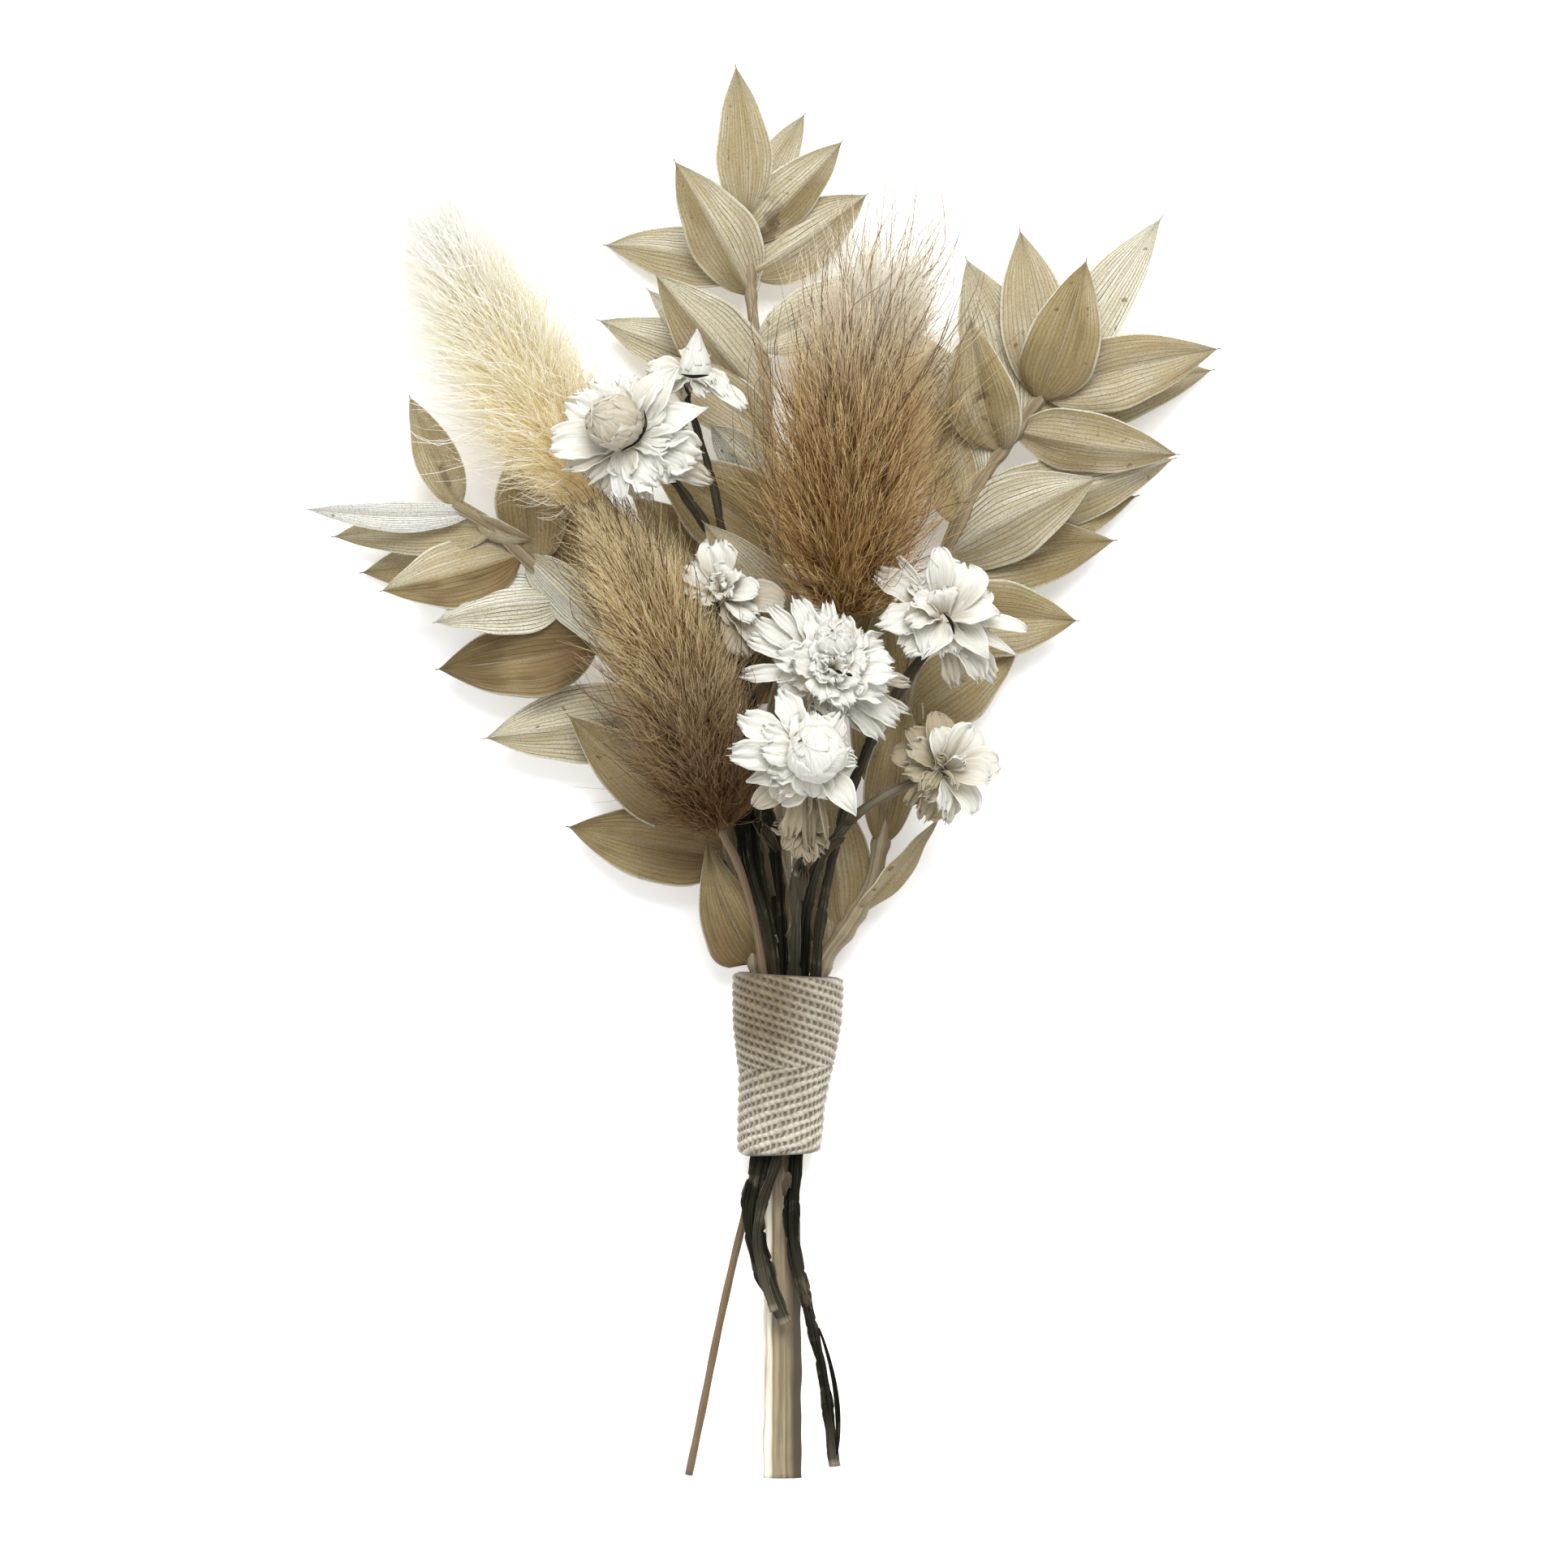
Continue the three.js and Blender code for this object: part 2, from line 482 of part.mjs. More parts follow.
function ruscusPieces(spray) {
  const curve = curveThrough(spray.stem);
  const steps = spray.stem.length + 3;
  const section = (t) => ellipse(spray.sides, along(spray.width, t), along(spray.height, t), 0.5);
  const stem = solidOf(sweep(curve, steps, section));
  return [stem, ...spray.leaves.map((leaf) => solidOf(ruscusLeaf(pointAtHeight(curve, leaf.from), leaf)))];
}

// ---- Hare's-tail grass ----

// The head's half thickness at share t of its length, as a share of the largest.
const headShape = (t) => Math.pow(Math.sin(Math.PI * Math.pow(0.04 + 0.93 * t, 0.72)), 0.62);

function grassCore(tail) {
  return solidOf(sweep(curveThrough(tail.axis), 8, (t) => {
    const width = 2 * tail.radius * headShape(t);
    return ellipse(10, width, width);
  }));
}

// The core with straight three-sided hairs standing out of it on all sides, leaning towards the tip. A hair
// that would run into a neighbour is shorter, or is left out.
function grassHead(tail, core, neighbours) {
  const curve = curveThrough(tail.axis);
  const hairs = Array.from({ length: NEEDLES }, (_, i) => {
    const t = 0.1 + (0.88 * (i + 0.5)) / NEEDLES;
    const { at, ahead, side, up } = frameAt(curve, t);
    const angle = i * GOLDEN_ANGLE;
    const out = side.multiplyScalar(Math.cos(angle)).addScaledVector(up, Math.sin(angle));
    const surface = tail.radius * headShape(t) * 0.94;
    const lean = 0.75 + 0.8 * t + 0.2 * wobble(i, 3);
    const direction = out.clone().addScaledVector(ahead, lean).normalize();
    const below = Math.max(0, -out.z);
    const length = tail.hair * (1 + 0.25 * wobble(i, 7)) * (1 - 0.35 * below) + NEEDLE_SINK;
    const root = at.addScaledVector(out, surface).addScaledVector(direction, -NEEDLE_SINK);
    return fitted((share) => {
      const hair = new THREE.ConeGeometry(NEEDLE_RADIUS, length * share, 3);
      hair.translate(0, (length * share) / 2, 0);
      hair.applyQuaternion(new THREE.Quaternion().setFromUnitVectors(new THREE.Vector3(0, 1, 0), direction));
      hair.translate(root.x, root.y, root.z);
      return solidOf(hair);
    }, neighbours);
  });
  return join([core, ...hairs.filter(Boolean)]);
}

// A stem's path carried on to the flat seat of what it carries: it comes in square to it and stops SEAT_GAP
// short.
function pathToSeat(path, seat, facing) {
  const before = seat.clone().addScaledVector(facing, -SEAT_RUN);
  const end = seat.clone().addScaledVector(facing, -SEAT_GAP);
  return curveThrough([...path, before.toArray(), end.toArray()]);
}

function grassStalk(tail) {
  const [seat, next] = tail.axis.slice(0, 2).map(vector);
  const curve = pathToSeat(tail.stalk, seat, next.sub(seat).normalize());
  return solidOf(sweep(curve, tail.stalk.length + 6, () => ellipse(6, tail.stalkWidth, tail.stalkWidth)));
}

// ---- Winged everlasting ----

function petal(root, tip, width, facing, tilt, cup) {
  const { ahead, across, off, length } = bladeFrame(root, tip, tilt, facing);
  return blade(PETAL_STATIONS, 1, PETAL_THICKNESS, (u, v) => {
    const half = (width / 2) * (0.28 + 0.72 * Math.sin(Math.PI * Math.pow(u, 1.2) * 0.86));
    return root.clone().addScaledVector(ahead, u * length)
      .addScaledVector(across, v * half)
      .addScaledVector(off, cup * 4 * u * (1 - u));
  });
}

// A closed bud in the middle of two layers of papery petals, with a short cup below that meets the stem. The
// petals are tilted like shingles, each a little over the next, and are shorter where a neighbour is close.
function everlasting(bloom, index, neighbours) {
  const seat = vector(bloom.seat);
  const facing = vector(bloom.facing).normalize();
  const turn = new THREE.Quaternion().setFromUnitVectors(UP, facing);
  const place = (x, y, z) => new THREE.Vector3(x, y, z).applyQuaternion(turn).add(seat);
  const profile = BUD_PROFILE.map(([r, z]) => new THREE.Vector2(r * bloom.bud, z * bloom.bud));
  const bud = new THREE.LatheGeometry(profile, 8).rotateX(Math.PI / 2).applyQuaternion(turn);
  bud.translate(seat.x, seat.y, seat.z);
  const layer = (count, reach, from, rise, offset) =>
    Array.from({ length: count }, (_, i) => {
      const angle = ((i + offset) / count) * 2 * Math.PI + 0.08 * wobble(i, index);
      const high = bloom.bud * rise + 0.5 * wobble(i, index + 9);
      const near = bloom.bud * 0.8 - PETAL_SINK;
      const root = place(near * Math.cos(angle), near * Math.sin(angle), bloom.bud * from);
      return fitted((share) => {
        const far = Math.max(share * reach * (1 + 0.1 * wobble(i, index + 5)), near + 2);
        const tip = place(far * Math.cos(angle), far * Math.sin(angle), high);
        return solidOf(petal(root, tip, bloom.reach * PETAL_WIDTH, facing, PETAL_TILT, 0.5));
      }, neighbours);
    }).filter(Boolean);
  return join([
    solidOf(bud),
    ...layer(OUTER_PETALS, bloom.reach, 0.5, 0.4, 0),
    ...layer(INNER_PETALS, bloom.reach * INNER_SHARE, 0.95, 1.6, 0.5),
  ]);
}

// A flattened stem with its two wings as the ends of a six-sided section, and its forks, if any.
function wingedStem(stem) {
  const limb = ({ path, bloom: name }) => {
    const bloom = BLOOMS.find((candidate) => candidate.name === name);
    const curve = pathToSeat(path, vector(bloom.seat), vector(bloom.facing).normalize());
    const slim = (t) => 1 - 0.4 * t;
    return solidOf(
      sweep(curve, path.length + 4, (t) => ellipse(6, stem.width * slim(t), stem.height * slim(t))),
    );
  };
  return join([limb(stem), ...stem.forks.map(limb)]);
}

// ---- The tape wrap ----

// A ring with slanting ribs on its outside that turn back half way, pressed flat underneath where it lies.
function tapeWrap() {
  const ys = WRAP_SECTIONS.map((section) => section[0]);
  const at = (y, k) => {
    const i = Math.max(0, ys.findLastIndex((value) => value <= y));
    const j = Math.min(i + 1, ys.length - 1);
    const share = j === i ? 0 : (y - ys[i]) / (ys[j] - ys[i]);
    return THREE.MathUtils.lerp(WRAP_SECTIONS[i][k], WRAP_SECTIONS[j][k], share);
  };
  const ring = (y, inset, ribs) =>
    Array.from({ length: WRAP_COLUMNS }, (_, j) => {
      const angle = (j / WRAP_COLUMNS) * 2 * Math.PI;
      const round = Math.PI - Math.abs(angle - Math.PI);
      const phase = ((Math.abs(y - CHEVRON_Y) + RIB_SLANT * round) / RIB_PITCH) * 2 * Math.PI;
      const rib = ribs ? RIB_HEIGHT * Math.cos(phase) : 0;
      const x = at(y, 1) + (at(y, 3) - inset + rib) * Math.sin(angle);
      const z = at(y, 2) + (at(y, 4) - inset + rib) * Math.cos(angle);
      return new THREE.Vector3(x, y, Math.max(z, inset * 0.9));
    });
  const [low, high] = [ys[0], ys.at(-1)];
  const outside = Array.from({ length: WRAP_ROWS + 1 }, (_, i) => {
    const y = THREE.MathUtils.lerp(low, high, i / WRAP_ROWS);
    return ring(y, 0, i > 0 && i < WRAP_ROWS);
  });
  const inside = [high, 5, -0.5, -5, low].map((y) => ring(y, WRAP_WALL, false));
  return solidOf(skin([...outside, ...inside], true));
}

// ---- The part ----

const tape = tapeWrap();
const sprays = {
  ruscus_centre: join([...ruscusPieces(CENTRE_SPRAY), ...ruscusPieces(CENTRE_TWIG)]),
  ruscus_right: join(ruscusPieces(RIGHT_SPRAY)),
  ruscus_left: join(ruscusPieces(LEFT_SPRAY)),
};
const stalks = TAILS.map(grassStalk);
const cores = TAILS.map(grassCore);
const stems = WINGED_STEMS.map(wingedStem);

const firm = [tape, ...Object.values(sprays), ...stalks, ...stems];
const blooms = [];
BLOOMS.forEach((bloom, index) => {
  blooms.push(everlasting(bloom, index, [...firm, ...cores, ...blooms]));
});
const heads = [];
TAILS.forEach((tail, index) => {
  const others = cores.filter((_, i) => i !== index);
  heads.push(grassHead(tail, cores[index], [...firm, ...blooms, ...others, ...heads]));
});

const boutonniere = new THREE.Group();
boutonniere.add(meshOf(tape, "tape_wrap", cottonTape));
for (const [name, solid] of Object.entries(sprays))
  boutonniere.add(meshOf(solid, name, bleachedLeaf));
TAILS.forEach((tail, i) => {
  const hairColour = tail.name === "cream" ? creamHair : brownHair;
  boutonniere.add(meshOf(heads[i], `grass_head_${tail.name}`, hairColour));
  boutonniere.add(meshOf(stalks[i], `grass_stalk_${tail.name}`, dryStalk));
});
BLOOMS.forEach((bloom, i) => {
  boutonniere.add(meshOf(blooms[i], `everlasting_${bloom.name}`, whitePetal));
});
WINGED_STEMS.forEach((stem, i) => {
  boutonniere.add(meshOf(stems[i], `winged_stem_${stem.name}`, darkStem));
});

export default boutonniere;
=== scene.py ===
"""Looks for a dried-flower boutonniere that lies on its back, seen from straight above.

Every piece is worked out with numpy in millimetres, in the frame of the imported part: +Y from the cut stem
ends to the leaf tips, +X to the right and +Z up from the surface. The meshes are in metres.
"""

import logging
import math
from dataclasses import dataclass, field
from enum import Enum
from functools import reduce

import bpy
import numpy as np
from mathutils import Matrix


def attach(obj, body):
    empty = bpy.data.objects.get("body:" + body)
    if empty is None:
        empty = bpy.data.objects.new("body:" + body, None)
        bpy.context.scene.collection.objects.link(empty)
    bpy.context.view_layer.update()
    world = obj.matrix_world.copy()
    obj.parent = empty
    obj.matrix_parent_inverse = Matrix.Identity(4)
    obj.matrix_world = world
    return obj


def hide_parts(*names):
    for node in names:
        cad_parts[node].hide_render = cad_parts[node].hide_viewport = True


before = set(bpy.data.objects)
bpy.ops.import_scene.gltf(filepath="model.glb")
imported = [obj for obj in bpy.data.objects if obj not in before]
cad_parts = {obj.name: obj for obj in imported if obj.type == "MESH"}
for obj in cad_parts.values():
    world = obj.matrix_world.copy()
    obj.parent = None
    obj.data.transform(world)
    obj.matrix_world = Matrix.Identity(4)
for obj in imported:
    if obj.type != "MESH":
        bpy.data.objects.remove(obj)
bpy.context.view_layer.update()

LOG = logging.getLogger("boutonniere")
MM = 0.001
GOLDEN_ANGLE = math.pi * (3.0 - math.sqrt(5.0))
UP = np.array([0.0, 0.0, 1.0])
SEAT_GAP = 0.3  # mm between a stem's end and the bloom or head that it carries
SEAT_RUN = 2.2  # mm that a stem runs straight before its seat
POLE_GAP = 0.12  # radians between a ball's first ring and its pole

Array = np.ndarray
Point = tuple[float, float, float]
Colour = tuple[float, float, float]


# ---- Small mathematics ----


def unit(vectors: Array) -> Array:
    """Scales vectors to length 1.

    Args:
        vectors: Vectors along the last axis.

    Returns:
        The unit vectors; a zero vector stays zero.
    """
    lengths = np.linalg.norm(vectors, axis=-1, keepdims=True)
    return vectors / np.maximum(lengths, 1e-12)


def smoothstep(low: float, high: float, values: Array) -> Array:
    """Rises from 0 at low to 1 at high with level ends: 3s^2 - 2s^3 of the share s between them."""
    share = np.clip((values - low) / (high - low), 0.0, 1.0)
    return share * share * (3.0 - 2.0 * share)


def ripple(values: Array, phases: Array) -> Array:
    """A smooth random-looking wave: the mean of sines whose frequencies grow by about 1.7 each.

    Args:
        values: Where to read the wave.
        phases: One phase for each sine.

    Returns:
        Values between -1 and 1 in the shape of values.
    """
    waves = [np.sin(values * 1.7**k + phase) for k, phase in enumerate(phases)]
    return sum(waves) / len(waves)


def turn_about(vectors: Array, axis: Array, angle: float) -> Array:
    """Turns vectors about a unit axis by an angle in radians, by Rodrigues' formula."""
    cosine, sine = math.cos(angle), math.sin(angle)
    along = (vectors @ axis)[..., None] * axis
    return vectors * cosine + np.cross(axis, vectors) * sine + along * (1.0 - cosine)


def facing_axes(facing: Point) -> tuple[Array, Array, Array]:
    """Unit directions to the side of, up from and along the way that a bloom or a bud faces."""
    ahead = unit(np.array(facing, dtype=float))
    side = unit(np.cross(ahead, np.array([0.2, 1.0, 0.1])))
    return side, np.cross(ahead, side), ahead


def seat_run(seat: Array, facing: Array) -> list[Point]:
    """A stem's last two points: it comes in square to its seat and stops just short of it."""
    return [tuple(seat - facing * before) for before in (SEAT_RUN, SEAT_GAP)]


def once_round(sides: int) -> Array:
    """A row of angles that runs clockwise once round, as tube wants its rings."""
    return -np.linspace(0, 2 * math.pi, sides, endpoint=False)[None, :]


def spread_along(values: list[float], share: Array) -> Array:
    """Reads values that are spread evenly along a stem, as a column for shares of its length."""
    return np.interp(share, np.linspace(0, 1, len(values)), values)[:, None]


@dataclass
class Path:
    """A smooth line through points: a centripetal Catmull-Rom curve, read by its share of arc length.

    Attributes:
        points: What the line goes through, in mm.
        steps: How many steps it takes from one point to the next.
    """

    points: list[Point]
    steps: int = 40

    AHEAD_STEP = 0.004  # the share of the length on each side over which its direction is read

    def __post_init__(self) -> None:
        """Works the curve out densely once, with its running length."""
        given = np.array(self.points, dtype=float)
        ends = np.vstack([2 * given[0] - given[1], given, 2 * given[-1] - given[-2]])
        p0, p1, p2, p3 = ends[:-3], ends[1:-2], ends[2:-1], ends[3:]
        d0, d1, d2 = (
            np.sqrt(np.linalg.norm(b - a, axis=1))[:, None] for a, b in ((p0, p1), (p1, p2), (p2, p3))
        )
        leave = d1 * ((p1 - p0) / d0 - (p2 - p0) / (d0 + d1) + (p2 - p1) / d1)
        arrive = d1 * ((p2 - p1) / d1 - (p3 - p1) / (d1 + d2) + (p3 - p2) / d2)
        s = np.linspace(0, 1, self.steps, endpoint=False)[None, :, None]
        cubic = (2 * p1 - 2 * p2 + leave + arrive)[:, None] * s**3
        square = (3 * p2 - 3 * p1 - 2 * leave - arrive)[:, None] * s**2
        spans = cubic + square + leave[:, None] * s + p1[:, None]
        self.line = np.vstack([spans.reshape(-1, 3), given[-1:]])
        gaps = np.linalg.norm(np.diff(self.line, axis=0), axis=1)
        self.run = np.concatenate([[0.0], np.cumsum(gaps)])
        self.length = float(self.run[-1])

    def at(self, share: Array) -> Array:
        """Points of the curve at shares of its length from 0 to 1."""
        run = share * self.length
        return np.stack([np.interp(run, self.run, self.line[:, k]) for k in range(3)], axis=-1)

    def frames(self, share: Array) -> tuple[Array, Array, Array, Array]:
        """Reads the curve with directions square to it.

        Args:
            share: Shares of the curve's length.

        Returns:
            Points, and unit vectors ahead, to the side and up at each.
        """
        after, before = np.minimum(share + self.AHEAD_STEP, 1), np.maximum(share - self.AHEAD_STEP, 0)
        ahead = unit(self.at(after) - self.at(before))
        side = unit(np.cross(ahead, UP))
        return self.at(share), ahead, side, np.cross(side, ahead)

    def rings(self, share: Array, across: Array, above: Array) -> Array:
        """Rings of points round the curve.

        Args:
            share: Shares of the curve's length.
            across: Offsets to the side, by share and place on the ring.
            above: Offsets up, likewise.

        Returns:
            Rings by places by 3.
        """
        at, _, side, up = self.frames(share)
        return at[:, None] + side[:, None] * across[..., None] + up[:, None] * above[..., None]

    def share_at_height(self, height: float) -> float:
        """The share of the length at which the curve first reaches the given y."""
        index = int(np.argmax(self.line[:, 1] >= height))
        return float(self.run[index] / self.length)


# ---- Meshes ----


@dataclass
class Patch:
    """Some closed skin of a piece.

    Attributes:
        points: Points in mm, one a row.
        faces: Corner numbers of quads and triangles, one array for each kind.
        marks: Named values on the points that the materials read.
        finish: Which of the piece's materials it wears.
    """

    points: Array
    faces: list[Array]
    marks: dict[str, Array] = field(default_factory=dict)
    finish: int = 0


def on_grid(shape: tuple[int, int], **marks: Array | float) -> dict[str, Array]:
    """Marks as full arrays of a grid's shape."""
    return {name: np.array(np.broadcast_to(values, shape)) for name, values in marks.items()}


def grid_quads(rows: int, columns: int) -> Array:
    """Four corner numbers for each quad of a grid of points that runs row by row."""
    corner = (np.arange(rows - 1)[:, None] * columns + np.arange(columns - 1)[None, :]).reshape(-1)
    return np.stack([corner, corner + 1, corner + columns + 1, corner + columns], axis=1)


def grid_normals(grid: Array) -> Array:
    """Unit normals of a grid surface: the cross product of its differences across and along."""
    return unit(np.cross(np.gradient(grid, axis=1), np.gradient(grid, axis=0)))


def shell(grid: Array, thickness: Array | float, marks: dict[str, Array]) -> Patch:
    """Closes a thin leaf or petal: its grid moved half the thickness each way, joined by a rim.

    Args:
        grid: Middle surface, rows by columns by 3.
        thickness: Full thickness, one number or one for each grid point.
        marks: Values on the grid points.

    Returns:
        The closed skin.
    """
    rows, columns = grid.shape[:2]
    half = np.broadcast_to(np.asarray(thickness) / 2.0, (rows, columns))[..., None]
    shift = grid_normals(grid) * half
    points = np.concatenate([(grid + shift).reshape(-1, 3), (grid - shift).reshape(-1, 3)])
    count = rows * columns
    top = grid_quads(rows, columns)
    numbers = np.arange(count).reshape(rows, columns)
    rim = np.concatenate([numbers[0, :-1], numbers[:-1, -1], numbers[-1, :0:-1], numbers[:0:-1, 0]])
    after = np.roll(rim, -1)
    sides = np.stack([rim, rim + count, after + count, after], axis=1)
    doubled = {name: np.tile(values.reshape(-1), 2) for name, values in marks.items()}
    return Patch(points, [np.concatenate([top, top[:, ::-1] + count, sides])], doubled)


def tube(rings: Array, marks: dict[str, Array], finish: int = 0) -> Patch:
    """Closes rings of points into a solid rod: quads between rings and a fan at each end.

    Args:
        rings: Rings by points by 3, each ring running clockwise as seen from the next.
        marks: Values on the ring points.
        finish: Material number.

    Returns:
        The closed skin.
    """
    count, around = rings.shape[:2]
    start = np.arange(count - 1)[:, None] * around
    here = (start + np.arange(around)[None, :]).reshape(-1)
    beside = (start + np.roll(np.arange(around), -1)[None, :]).reshape(-1)
    quads = np.stack([here, beside, beside + around, here + around], axis=1)
    ring = np.arange(around)
    following = np.roll(ring, -1)
    last = (count - 1) * around
    base, tip = count * around, count * around + 1
    low = np.stack([np.full(around, base), following, ring], axis=1)
    high = np.stack([np.full(around, tip), ring + last, following + last], axis=1)
    ends = np.stack([rings[0].mean(axis=0), rings[-1].mean(axis=0)])
    points = np.concatenate([rings.reshape(-1, 3), ends])
    flat = {name: values.reshape(-1) for name, values in marks.items()}
    capped = {name: np.concatenate([values, values[:1], values[-1:]]) for name, values in flat.items()}
    return Patch(points, [quads, np.concatenate([low, high])], capped, finish)


def strands(centres: Array, radii: Array, marks: dict[str, Array], finish: int = 0) -> Patch:
    """Closes many hairs at once: three-sided tapered rods around their centre lines.

    Args:
        centres: Hairs by steps by 3.
        radii: Hairs by steps.
        marks: Values by hair and step.
        finish: Material number.

    Returns:
        The closed skins of all hairs.
    """
    hairs, steps = centres.shape[:2]
    ahead = unit(np.gradient(centres, axis=1))
    side = unit(np.cross(ahead, np.array([0.31, 0.17, 0.93])))
    up = np.cross(side, ahead)
    angles = -np.arange(3) * 2 * math.pi / 3
    ring = side[:, :, None] * np.cos(angles)[:, None] + up[:, :, None] * np.sin(angles)[:, None]
    points = centres[:, :, None] + ring * radii[:, :, None, None]
    first = (np.arange(hairs) * steps * 3)[:, None, None]
    level = (np.arange(steps - 1) * 3)[None, :, None]
    corner = np.arange(3)[None, None, :]
    here = (first + level + corner).reshape(-1)
    beside = (first + level + (corner + 1) % 3).reshape(-1)
    quads = np.stack([here, beside, beside + 3, here + 3], axis=1)
    base = np.arange(hairs) * steps * 3
    tip = base + (steps - 1) * 3
    caps = np.concatenate([np.stack([base, base + 2, base + 1], 1), np.stack([tip, tip + 1, tip + 2], 1)])
    spread = {name: np.repeat(values[:, :, None], 3, axis=2).reshape(-1) for name, values in marks.items()}
    return Patch(points.reshape(-1, 3), [quads, caps], spread, finish)


def make_piece(name: str, patches: list[Patch], finishes: list[bpy.types.Material]) -> bpy.types.Object:
    """Makes one object of several closed skins.

    Args:
        name: The object's name.
        patches: Skins in mm.
        finishes: The materials that the patches number.

    Returns:
        The object at the origin, in metres, linked to the scene.
    """
    offsets = np.cumsum([0] + [len(patch.points) for patch in patches])
    corners, totals, wears = [], [], []
    for patch, offset in zip(patches, offsets):
        for faces in patch.faces:
            corners.append((faces + offset).reshape(-1))
            totals.append(np.full(len(faces), faces.shape[1]))
            wears.append(np.full(len(faces), patch.finish))
    corners, totals, wears = (np.concatenate(part).astype(np.int32) for part in (corners, totals, wears))
    mesh = bpy.data.meshes.new(name)
    mesh.vertices.add(int(offsets[-1]))
    mesh.loops.add(len(corners))
    mesh.polygons.add(len(totals))
    points = np.concatenate([patch.points for patch in patches]) * MM
    mesh.vertices.foreach_set("co", points.astype(np.float32).reshape(-1))
    mesh.loops.foreach_set("vertex_index", corners)
    mesh.polygons.foreach_set("loop_start", np.concatenate([[0], np.cumsum(totals)[:-1]]).astype(np.int32))
    mesh.polygons.foreach_set("material_index", wears)
    mesh.polygons.foreach_set("use_smooth", np.ones(len(totals), dtype=bool))
    for mark in sorted({mark for patch in patches for mark in patch.marks}):
        _write_mark(mesh, mark, patches)
    mesh.update(calc_edges=True)
    mesh.validate()
    for finish in finishes:
        mesh.materials.append(finish)
    piece = bpy.data.objects.new(name, mesh)
    bpy.context.scene.collection.objects.link(piece)
    return piece


def _write_mark(mesh: bpy.types.Mesh, mark: str, patches: list[Patch]) -> None:
    """Puts one named value of all patches on a mesh's points; patches without it get zeros."""
    parts = [patch.marks.get(mark, np.zeros(len(patch.points))) for patch in patches]
    values = np.concatenate(parts).astype(np.float32)
    mesh.attributes.new(mark, "FLOAT", "POINT").data.foreach_set("value", values)


# ---- Finishes ----


